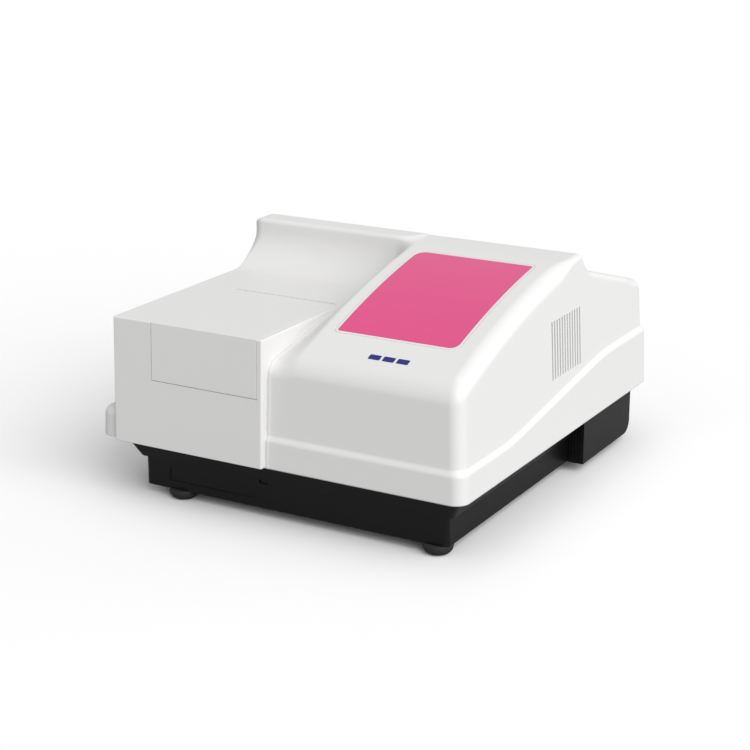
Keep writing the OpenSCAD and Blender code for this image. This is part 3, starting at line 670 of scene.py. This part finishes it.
def use(tree, made, **values):
    node = tree.nodes.new("ShaderNodeGroup")
    node.node_tree = made
    for label, value in values.items():
        node.inputs[label.replace("_", " ")].default_value = value
    return node


def material(name, colour, rough, metallic=0.0, **extra):
    """A new material and its shader; extra sets the shader's own sockets."""
    mat = bpy.data.materials.new(name)
    mat.use_nodes = True
    shader = mat.node_tree.nodes["Principled BSDF"]
    shader.inputs["Base Color"].default_value = (*colour, 1)
    shader.inputs["Roughness"].default_value = rough
    shader.inputs["Metallic"].default_value = metallic
    for label, value in extra.items():
        shader.inputs[label.replace("_", " ")].default_value = value
    return mat, mat.node_tree, shader


def shaded(tree, colour, shade):
    """The colour times a grey factor."""
    node = tree.nodes.new("ShaderNodeVectorMath")
    node.operation = "SCALE"
    if isinstance(colour, (tuple, list)):
        node.inputs[0].default_value = colour[:3]
    else:
        tree.links.new(colour, node.inputs[0])
    tree.links.new(shade, node.inputs["Scale"])
    return node.outputs[0]


def bumped(tree, shader, height, strength, distance):
    node = tree.nodes.new("ShaderNodeBump")
    node.inputs["Strength"].default_value = strength
    node.inputs["Distance"].default_value = distance
    tree.links.new(height, node.inputs["Height"])
    tree.links.new(node.outputs["Normal"], shader.inputs["Normal"])


def plastic(name, colour, rough, grain=1400.0, depth=0.12, tint=0.03, worn=None, dust=0.0, reach=0.8,
            **extra):
    """Injection-moulded plastic: eroded grain, tone drift, rubbed edges and a little dust."""
    mat, tree, shader = material(name, colour, rough, **extra)
    skin = use(tree, MOULDED_SKIN, Grain_Size=grain, Tint=tint)
    tone = shaded(tree, colour, skin.outputs["Shade"])
    if worn:
        wear = use(tree, EDGE_WEAR, Reach=reach)
        tone = mix_colour(tree, wear.outputs["Mask"], tone, (*worn, 1))
    if dust:
        settled = use(tree, SETTLED_DUST, Amount=dust)
        tone = mix_colour(tree, settled.outputs["Mask"], tone, (0.55, 0.54, 0.52, 1))
    tree.links.new(tone, shader.inputs["Base Color"])
    tree.links.new(math_node(tree, "ADD", skin.outputs["Gloss"], rough), shader.inputs["Roughness"])
    bumped(tree, shader, skin.outputs["Height"], depth, 0.0002)
    return mat


def metal(name, colour, rough, lines=(60.0, 2400.0, 2400.0), depth=0.1, worn=(0.75, 0.75, 0.77), **extra):
    """Machined or rolled metal with tool marks and brighter edges."""
    mat, tree, shader = material(name, colour, rough, metallic=1.0, **extra)
    marks = use(tree, MACHINED_LINES, Across_X=lines[0], Across_Y=lines[1], Across_Z=lines[2])
    wear = use(tree, EDGE_WEAR, Reach=0.7)
    tone = mix_colour(tree, wear.outputs["Mask"], shaded(tree, colour, marks.outputs["Shade"]), (*worn, 1))
    tree.links.new(tone, shader.inputs["Base Color"])
    blotch = math_node(tree, "MULTIPLY", noise(tree, 40.0, 4, place(tree)), 0.16)
    tree.links.new(math_node(tree, "ADD", blotch, rough - 0.08), shader.inputs["Roughness"])
    bumped(tree, shader, marks.outputs["Height"], depth, 0.0001)
    return mat


def painted(name, colour, rough, worn=(0.5, 0.5, 0.52), grain=700.0, depth=0.25):
    """Powder paint with orange peel, chipped to bright metal at the edges."""
    mat, tree, shader = material(name, colour, rough, Coat_Weight=0.15, Coat_Roughness=0.25)
    skin = use(tree, MOULDED_SKIN, Grain_Size=grain, Tint=0.08)
    wear = use(tree, EDGE_WEAR, Reach=0.9)
    tone = mix_colour(tree, wear.outputs["Mask"], shaded(tree, colour, skin.outputs["Shade"]), (*worn, 1))
    tree.links.new(tone, shader.inputs["Base Color"])
    tree.links.new(math_node(tree, "ADD", skin.outputs["Gloss"], rough), shader.inputs["Roughness"])
    tree.links.new(math_node(tree, "MULTIPLY", wear.outputs["Mask"], 0.8), shader.inputs["Metallic"])
    bumped(tree, shader, skin.outputs["Height"], depth, 0.0003)
    return mat


def clear_glass(name, colour, rough=0.02, ior=1.46):
    mat, tree, shader = material(name, colour, rough, Transmission_Weight=1.0, IOR=ior)
    smudge = math_node(tree, "MULTIPLY", noise(tree, 60.0, 5, place(tree), 0.7), 0.08)
    tree.links.new(smudge, shader.inputs["Roughness"])
    drift = math_node(tree, "MULTIPLY", noise(tree, 20.0, 2, place(tree)), 0.04)
    tree.links.new(shaded(tree, colour, math_node(tree, "ADD", drift, 0.97)), shader.inputs["Base Color"])
    return mat


def mirror_coat(name, colour, rough, ruled=0.0):
    """Front-coated optic, with ruled lines on a grating."""
    mat, tree, shader = material(name, colour, rough, metallic=1.0)
    haze = noise(tree, 35.0, 5, place(tree), 0.65)
    faint = math_node(tree, "MULTIPLY", haze, 0.05)
    tree.links.new(math_node(tree, "ADD", faint, rough), shader.inputs["Roughness"])
    tree.links.new(shaded(tree, colour, math_node(tree, "ADD", faint, 0.96)), shader.inputs["Base Color"])
    if ruled:
        wave = tree.nodes.new("ShaderNodeTexWave")
        wave.bands_direction = "Y"
        wave.inputs["Scale"].default_value = ruled
        tree.links.new(place(tree), wave.inputs["Vector"])
        bumped(tree, shader, wave.outputs["Fac"], 0.1, 0.0001)
    return mat


def circuit_green(name):
    """Solder mask over copper tracks on a grid."""
    mat, tree, shader = material(name, (0.02, 0.16, 0.07), 0.35, Coat_Weight=0.4, Coat_Roughness=0.15)
    brick = tree.nodes.new("ShaderNodeTexBrick")
    brick.inputs["Scale"].default_value = 90.0
    brick.inputs["Mortar Size"].default_value = 0.06
    brick.inputs["Color1"].default_value = (0.015, 0.15, 0.06, 1)
    brick.inputs["Color2"].default_value = (0.02, 0.12, 0.05, 1)
    brick.inputs["Mortar"].default_value = (0.05, 0.3, 0.12, 1)
    tree.links.new(place(tree), brick.inputs["Vector"])
    cells = tree.nodes.new("ShaderNodeTexVoronoi")
    cells.inputs["Scale"].default_value = 260.0
    tree.links.new(place(tree), cells.inputs["Vector"])
    dots = math_node(tree, "LESS_THAN", cells.outputs["Distance"], 0.16)
    tone = mix_colour(tree, dots, brick.outputs["Color"], (0.62, 0.6, 0.5, 1))
    tree.links.new(tone, shader.inputs["Base Color"])
    bumped(tree, shader, brick.outputs["Fac"], 0.2, 0.0001)
    return mat


def flat_cable_grey(name):
    mat, tree, shader = material(name, (0.4, 0.41, 0.43), 0.5)
    wave = tree.nodes.new("ShaderNodeTexWave")
    wave.bands_direction = "X"
    wave.inputs["Scale"].default_value = 250.0
    tree.links.new(place(tree), wave.inputs["Vector"])
    tone = mix_colour(tree, wave.outputs["Fac"], (0.33, 0.34, 0.36, 1), (0.5, 0.51, 0.53, 1))
    tree.links.new(tone, shader.inputs["Base Color"])
    bumped(tree, shader, wave.outputs["Fac"], 0.5, 0.0003)
    return mat


FINISH = {
    "white_plastic": plastic("white_plastic", (0.775, 0.77, 0.765), 0.36, 1500, 0.05, 0.02,
                             worn=(0.84, 0.84, 0.83), dust=0.02),
    "panel_film": plastic("panel_film", (0.74, 0.055, 0.225), 0.3, 900, 0.03, 0.07,
                          Coat_Weight=0.3, Coat_Roughness=0.2),
    "black_base": plastic("black_base", (0.004, 0.004, 0.0046), 0.34, 1100, 0.15, 0.12,
                          worn=(0.03, 0.03, 0.032), dust=0.01, Specular_IOR_Level=0.3),
    "black_inner": plastic("black_inner", (0.02, 0.02, 0.021), 0.62, 1000, 0.4, 0.1,
                           worn=(0.06, 0.06, 0.06), dust=0.06),
    "foot_rubber": plastic("foot_rubber", (0.016, 0.016, 0.016), 0.7, 800, 0.5, 0.2,
                           worn=(0.05, 0.05, 0.05), dust=0.1),
    "connector_black": plastic("connector_black", (0.02, 0.02, 0.022), 0.4, 1300, 0.2, 0.1,
                               worn=(0.07, 0.07, 0.07), dust=0.04),
    "rocker_red": plastic("rocker_red", (0.48, 0.02, 0.02), 0.28, 1300, 0.05, 0.05, worn=(0.6, 0.12, 0.1)),
    "ceramic": plastic("ceramic", (0.8, 0.77, 0.68), 0.75, 700, 0.5, 0.08, worn=(0.9, 0.88, 0.82)),
    "steel": metal("steel", (0.6, 0.6, 0.61), 0.32),
    "aluminium": metal("aluminium", (0.78, 0.79, 0.8), 0.38, (90.0, 1800.0, 1800.0), 0.15),
    "gold": metal("gold", (0.83, 0.6, 0.25), 0.25, worn=(0.95, 0.8, 0.5)),
    "panel_metal": painted("panel_metal", (0.5, 0.51, 0.52), 0.45),
    "black_anodised": painted("black_anodised", (0.02, 0.02, 0.023), 0.42,
                              worn=(0.3, 0.3, 0.31), grain=1500, depth=0.1),
    "cast_grey": painted("cast_grey", (0.2, 0.21, 0.225), 0.5, grain=350, depth=0.6),
    "motor_black": painted("motor_black", (0.03, 0.03, 0.033), 0.4, worn=(0.35, 0.35, 0.36)),
    "mirror": mirror_coat("mirror", (0.92, 0.93, 0.95), 0.02),
    "glass": clear_glass("glass", (0.93, 0.97, 1.0)),
    "filter_glass": clear_glass("filter_glass", (0.8, 0.36, 0.08), ior=1.52),
    "board_green": circuit_green("board_green"),
    "cable_grey": flat_cable_grey("cable_grey"),
}
BADGE_BLUE = plastic("badge_blue", (0.008, 0.008, 0.19), 0.4, 900, 0.03, 0.05)
GRATING_COAT = mirror_coat("grating_coat", (0.85, 0.88, 0.95), 0.06, ruled=900.0)
TUNGSTEN = metal("tungsten", (0.35, 0.34, 0.33), 0.4)


# ---------------------------------------------------------------- repeated pieces

def tree_with(name, sockets):
    """A geometry tree with named inputs (name, kind, value) and its in and out nodes."""
    tree = bpy.data.node_groups.new(name, "GeometryNodeTree")
    tree.interface.new_socket("Geometry", in_out="INPUT", socket_type="NodeSocketGeometry")
    for label, kind, value in sockets:
        socket = tree.interface.new_socket(label, in_out="INPUT", socket_type=kind)
        if value is not None:
            socket.default_value = value
    tree.interface.new_socket("Geometry", in_out="OUTPUT", socket_type="NodeSocketGeometry")
    return tree, tree.nodes.new("NodeGroupInput"), tree.nodes.new("NodeGroupOutput")


def build_screw_heads():
    """A pan head with a cross recess on every vertex of the input mesh, turned by the given rotation."""
    tree, gin, gout = tree_with("screw_heads", [("Head Radius", "NodeSocketFloat", 0.003),
                                                ("Head Height", "NodeSocketFloat", 0.0017),
                                                ("Shank", "NodeSocketFloat", 0.005),
                                                ("Turn", "NodeSocketRotation", None),
                                                ("Finish", "NodeSocketMaterial", None)])
    add, link = tree.nodes.new, tree.links.new
    head = add("GeometryNodeMeshCylinder")
    head.inputs["Vertices"].default_value = 24
    link(gin.outputs["Head Radius"], head.inputs["Radius"])
    link(gin.outputs["Head Height"], head.inputs["Depth"])
    dome = add("GeometryNodeMeshUVSphere")
    dome.inputs["Segments"].default_value = 24
    dome.inputs["Rings"].default_value = 12
    link(gin.outputs["Head Radius"], dome.inputs["Radius"])
    squash = add("GeometryNodeTransform")
    squash.inputs["Scale"].default_value = (0.97, 0.97, 0.5)
    link(dome.outputs["Mesh"], squash.inputs["Geometry"])
    rounded = add("GeometryNodeMeshBoolean")
    rounded.operation = "INTERSECT"
    link(head.outputs["Mesh"], rounded.inputs[1])
    link(squash.outputs["Geometry"], rounded.inputs[1])
    recess = []
    for long_side in (0, 1):
        bar = add("GeometryNodeMeshCube")
        size = [0.0007, 0.0007, 0.0012]
        size[long_side] = 0.0036
        bar.inputs["Size"].default_value = size
        shift = add("GeometryNodeTransform")
        shift.inputs["Translation"].default_value = (0, 0, 0.001)
        link(bar.outputs["Mesh"], shift.inputs["Geometry"])
        recess.append(shift)
    crossed = add("GeometryNodeMeshBoolean")
    crossed.operation = "DIFFERENCE"
    link(rounded.outputs["Mesh"], crossed.inputs[0])
    for bar in recess:
        link(bar.outputs["Geometry"], crossed.inputs[1])
    shank = add("GeometryNodeMeshCylinder")
    shank.inputs["Vertices"].default_value = 16
    link(gin.outputs["Shank"], shank.inputs["Depth"])
    thin = add("ShaderNodeMath")
    thin.operation = "MULTIPLY"
    thin.inputs[1].default_value = 0.5
    link(gin.outputs["Head Radius"], thin.inputs[0])
    link(thin.outputs[0], shank.inputs["Radius"])
    drop = add("ShaderNodeMath")
    drop.operation = "MULTIPLY"
    drop.inputs[1].default_value = -0.5
    link(gin.outputs["Shank"], drop.inputs[0])
    below = add("ShaderNodeCombineXYZ")
    link(drop.outputs[0], below.inputs["Z"])
    lowered = add("GeometryNodeTransform")
    link(shank.outputs["Mesh"], lowered.inputs["Geometry"])
    link(below.outputs[0], lowered.inputs["Translation"])
    screw = add("GeometryNodeJoinGeometry")
    link(crossed.outputs["Mesh"], screw.inputs[0])
    link(lowered.outputs["Geometry"], screw.inputs[0])
    spread = add("GeometryNodeInstanceOnPoints")
    link(gin.outputs["Geometry"], spread.inputs["Points"])
    link(screw.outputs["Geometry"], spread.inputs["Instance"])
    link(gin.outputs["Turn"], spread.inputs["Rotation"])
    real = add("GeometryNodeRealizeInstances")
    link(spread.outputs["Instances"], real.inputs[0])
    paint = add("GeometryNodeSetMaterial")
    link(real.outputs[0], paint.inputs["Geometry"])
    link(gin.outputs["Finish"], paint.inputs["Material"])
    link(paint.outputs[0], gout.inputs[0])
    return tree


def build_bar_row():
    """A row of equal bars from a first middle, one pitch apart."""
    tree, gin, gout = tree_with("bar_row", [("Count", "NodeSocketInt", 5),
                                            ("First", "NodeSocketVector", (0, 0, 0)),
                                            ("Pitch", "NodeSocketVector", (0.005, 0, 0)),
                                            ("Size", "NodeSocketVector", (0.002, 0.002, 0.02)),
                                            ("Finish", "NodeSocketMaterial", None)])
    add, link = tree.nodes.new, tree.links.new
    line = add("GeometryNodeMeshLine")
    link(gin.outputs["Count"], line.inputs["Count"])
    link(gin.outputs["First"], line.inputs["Start Location"])
    link(gin.outputs["Pitch"], line.inputs["Offset"])
    bar = add("GeometryNodeMeshCube")
    link(gin.outputs["Size"], bar.inputs["Size"])
    spread = add("GeometryNodeInstanceOnPoints")
    link(line.outputs["Mesh"], spread.inputs["Points"])
    link(bar.outputs["Mesh"], spread.inputs["Instance"])
    real = add("GeometryNodeRealizeInstances")
    link(spread.outputs["Instances"], real.inputs[0])
    paint = add("GeometryNodeSetMaterial")
    link(real.outputs[0], paint.inputs["Geometry"])
    link(gin.outputs["Finish"], paint.inputs["Material"])
    link(paint.outputs[0], gout.inputs[0])
    return tree


SCREW_HEADS = build_screw_heads()
BAR_ROW = build_bar_row()


def grow(name, tree, points, **values):
    """Runs a geometry tree on loose points and keeps the plain mesh."""
    piece = mesh_piece(name, points, [])
    m = piece.modifiers.new("tree", "NODES")
    m.node_group = tree
    for socket in tree.interface.items_tree:
        if socket.in_out == "INPUT" and socket.name.replace(" ", "_") in values:
            m[socket.identifier] = values[socket.name.replace(" ", "_")]
    settle_modifiers(piece)
    return piece


def screw_heads(name, points, turn, radius, height, shank, finish_name="steel"):
    """Screws at the given places, in millimetres, with their heads the given way up."""
    return smooth(grow(name, SCREW_HEADS, points, Head_Radius=radius * MM, Head_Height=height * MM,
                       Shank=shank * MM, Turn=turn, Finish=FINISH[finish_name]), 35)


def bar_row(name, count, first, pitch, size, finish_name):
    """A row of bars as one piece, in millimetres."""
    return grow(name, BAR_ROW, [(0, 0, 0)], Count=count, First=[v * MM for v in first],
                Pitch=[v * MM for v in pitch], Size=[v * MM for v in size], Finish=FINISH[finish_name])


# ---------------------------------------------------------------- smaller pieces

def make_rotor():
    """Hub and twisted, swept blades, filling the space of the CAD rotor."""
    low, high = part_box("fan_rotor")
    cx, cz = (low.x + high.x) / 2 / MM, (low.z + high.z) / 2 / MM
    y0, y1 = low.y / MM, high.y / MM
    hub = turned("rotor", [(1.55, y0), (8.4, y0), (9, y0 + 0.6), (9, y1 - 1.4), (8, y1 - 0.3),
                           (6, y1), (1e-9, y1), (1e-9, y1 - 2), (1.55, y1 - 2)], (cx, 0, cz), "y")
    bm = bmesh.new()
    bm.from_mesh(hub.data)
    for blade in range(7):
        start = 2 * math.pi * blade / 7
        rows = []
        for s in np.linspace(0, 1, 8):
            r = 8.6 + s * 12.2
            tilt = math.radians(46 - 18 * s)
            middle = start + 0.25 * s
            row = []
            for c in np.linspace(-1, 1, 6):
                along = c * 6.4
                arc_len = along * math.cos(tilt)
                depth = along * math.sin(tilt) + 0.6 * (1 - c * c)
                a = middle + arc_len / r
                row.append((r, a, (y0 + y1) / 2 + depth))
            rows.append(row)
        thick = 0.45
        verts = [[[bm.verts.new(Vector((cx + r * math.cos(a), y + side * thick, cz + r * math.sin(a))) * MM)
                   for r, a, y in row] for row in rows] for side in (-1, 1)]
        for i in range(7):
            for j in range(5):
                for side in (0, 1):
                    v = verts[side]
                    bm.faces.new([v[i][j], v[i + 1][j], v[i + 1][j + 1], v[i][j + 1]])
        rim = [(0, j) for j in range(6)] + [(i, 5) for i in range(1, 8)]
        rim += [(7, j) for j in range(4, -1, -1)] + [(i, 0) for i in range(6, 0, -1)]
        for (i, j), (k, m) in zip(rim, rim[1:] + rim[:1]):
            bm.faces.new([verts[0][i][j], verts[0][k][m], verts[1][k][m], verts[1][i][j]])
    bpy.data.objects.remove(hub)
    return smooth(from_bmesh("rotor_blades", bm), 40)


def make_lamp():
    """Quartz capsule with a drawn tip, and its filament coil on two leads."""
    low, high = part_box("halogen_lamp")
    cx, cy = (low.x + high.x) / 2 / MM, (low.y + high.y) / 2 / MM
    z0 = low.z / MM
    outer = [(1e-9, z0 + 0.2), (3.5, z0 + 0.2), (3.8, z0 + 3), (5.5, z0 + 6), (5.5, z0 + 30), (4.6, z0 + 34),
             (2.2, z0 + 36.4), (0.9, z0 + 37.2), (1e-9, z0 + 37.4)]
    inner = [(1e-9, z0 + 36), (2, z0 + 35), (4, z0 + 33), (4.7, z0 + 30), (4.7, z0 + 7), (3, z0 + 5),
             (1e-9, z0 + 4.8)]
    glass = turned("lamp_capsule", outer + inner, (cx, cy, 0))
    full = 62.8
    turns = [(cx + 1.5 * math.cos(t), cy - 3 + 6 * t / full, 140 + 1.5 * math.sin(t))
             for t in np.linspace(0, full, 220)]
    leads = [(cx, cy - 3, z0 + 6), (cx, cy - 3, 137)]
    wire = wire_piece("filament", leads + turns + [(cx, cy + 3, 137), (cx, cy + 3, z0 + 6)], 0.25)
    return smooth(glass, 40), wire


def wire_piece(name, points, radius, sides=6):
    bm = bmesh.new()
    pts = [Vector(p) * MM for p in points]
    rings = []
    for i, p in enumerate(pts):
        along = (pts[min(i + 1, len(pts) - 1)] - pts[max(i - 1, 0)]).normalized()
        across = side - along * side.dot(along) if rings else along.orthogonal()
        across = across.normalized()
        side = across
        up = along.cross(across)
        turns = [2 * math.pi * k / sides for k in range(sides)]
        rings.append([bm.verts.new(p + (across * math.cos(a) + up * math.sin(a)) * radius * MM)
                      for a in turns])
    for a, b in zip(rings, rings[1:]):
        for k in range(sides):
            bm.faces.new([a[k], a[(k + 1) % sides], b[(k + 1) % sides], b[k]])
    bm.faces.new(rings[0][::-1])
    bm.faces.new(rings[-1])
    return smooth(from_bmesh(name, bm), 60)


# ---------------------------------------------------------------- assembly

finish(make_cover(), "chassis", "white_plastic", FINISH["white_plastic"], "main_cover")
finish(make_lid(), "lid", "white_plastic", FINISH["white_plastic"], "sample_lid")
finish(make_film(), "chassis", "panel_film", FINISH["panel_film"], "panel_overlay")
finish(make_badge(), "chassis", "panel_film", BADGE_BLUE)

# Width of the softened edges of each CAD piece that keeps its own shape
SOFT_EDGES = {"base_tray": 0.8, "lid_liner": 0.4, "rear_panel": 0.3, "power_inlet": 0.5, "fuse_drawer": 0.4,
              "switch_body": 0.5, "power_rocker": 0.4, "usb_port": 0.3, "serial_port": 0.3, "fan_frame": 0.5,
              "optical_bench": 0.8, "sample_tub": 0.5, "cell_holder": 0.5, "monochromator_case": 0.8,
              "monochromator_lid": 0.6, "lamp_socket": 0.5, "detector_case": 0.8, "detector_heat_sink": 0.3,
              "grating_motor": 1.0, "chopper_motor": 0.8, "filter_motor": 0.8, "main_board": 0.3,
              "detector_board": 0.3, "mirror_mounts": 0.5, "slit_plates": 0.3, "grating_turntable": 0.4,
              "lamp_house": 0.5}
slots = {s["node"]: s["material_slot"] for s in frame["record"]["subparts"]}
body_of = {n: b for b, names in frame["record"]["behaviour"]["bodies"].items() for n in names}
for node, width in SOFT_EDGES.items():
    finish(softened(node, width), body_of[node], slots[node], FINISH[slots[node]], node)
for corner in ("front_left", "front_right", "rear_left", "rear_right"):
    finish(make_foot("foot_" + corner), "chassis", "foot_rubber", FINISH["foot_rubber"], "foot_" + corner)
finish(make_rotor(), "fan", "connector_black", FINISH["connector_black"], "fan_rotor")
capsule, filament = make_lamp()
finish(capsule, "chassis", "glass", FINISH["glass"], "halogen_lamp")
finish(filament, "chassis", "steel", TUNGSTEN)

low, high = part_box("panel_screws")
panel_screw_y = high.y / MM - PANEL_SCREW_HEAD / 2
panel_screw_places = [(x, panel_screw_y, z) for x in PANEL_SCREW_X for z in PANEL_SCREW_Z]
panel_screws = screw_heads("panel_screw_heads", panel_screw_places, (-math.pi / 2, 0, 0),
                           PANEL_SCREW_R, PANEL_SCREW_HEAD, (high.y - low.y) / MM - PANEL_SCREW_HEAD / 2)
finish(panel_screws, "chassis", slots["panel_screws"], FINISH[slots["panel_screws"]], "panel_screws")

replaced = {n for piece in bpy.data.objects for n in piece.get("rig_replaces", [])}
for node, shown in frame["nodes"].items():
    if node not in replaced:
        dress(shown, GRATING_COAT if node == "grating" else FINISH[slots[node]])

# ---------------------------------------------------------------- floor, light, camera

REACH = 6000
floor_corners = [(-REACH, -REACH, 0), (REACH, -REACH, 0), (REACH, REACH, 0), (-REACH, REACH, 0)]
floor = mesh_piece("floor", floor_corners, [(0, 1, 2, 3)])
floor_finish, floor_tree, floor_shader = material("floor", (0.97, 0.97, 0.97), 1.0, Specular_IOR_Level=0.0)
# The floor is near white to the camera and 0.4 grey to every other ray. This is painted shade: it darkens the
# reflections and bounce light on the body and the base.
painted_shade_grey = tuple(0.4 for _ in range(3))
seen = floor_tree.nodes.new("ShaderNodeLightPath").outputs["Is Camera Ray"]
paper = shaded(floor_tree, (0.985, 0.985, 0.985), math_node(floor_tree, "ADD", math_node(
    floor_tree, "MULTIPLY", noise(floor_tree, 2.0, 2, place(floor_tree)), 0.01), 0.995))
floor_tree.links.new(mix_colour(floor_tree, seen, (*painted_shade_grey, 1), paper), floor_shader.inputs["Base Color"])
dress(floor, floor_finish)


def soft_sun(name, towards, strength, spread):
    """A wide, even studio light from the given direction."""
    lamp = bpy.data.lights.new(name, "SUN")
    lamp.energy = strength
    lamp.angle = math.radians(spread)
    holder = bpy.data.objects.new(name, lamp)
    bpy.context.collection.objects.link(holder)
    holder.rotation_euler = Vector(towards).to_track_quat("Z", "Y").to_euler()


soft_sun("key_right", (0.77, -0.33, 0.54), 2.3, 60)
soft_sun("rim_right", (0.7, 0.7, 0.1), 0.45, 50)
world = bpy.data.worlds.new("studio")
world.use_nodes = True
world.node_tree.nodes["Background"].inputs[0].default_value = (1, 1, 1, 1)
world.node_tree.nodes["Background"].inputs[1].default_value = 0.6
bpy.context.scene.world = world
bpy.context.scene.view_settings.view_transform = "Standard"

AZIMUTH, ELEVATION = math.radians(29.7), math.radians(17.54)
lens = bpy.data.cameras.new("camera")
lens.lens = 89.6
lens.sensor_width = 36
camera = bpy.data.objects.new("camera", lens)
bpy.context.collection.objects.link(camera)
camera.location = (0.9821, -1.7404, 0.7325)
level = math.cos(ELEVATION)
back = Vector((math.sin(AZIMUTH) * level, -math.cos(AZIMUTH) * level, math.sin(ELEVATION)))
camera.rotation_euler = back.to_track_quat("Z", "Y").to_euler()
bpy.context.scene.camera = camera
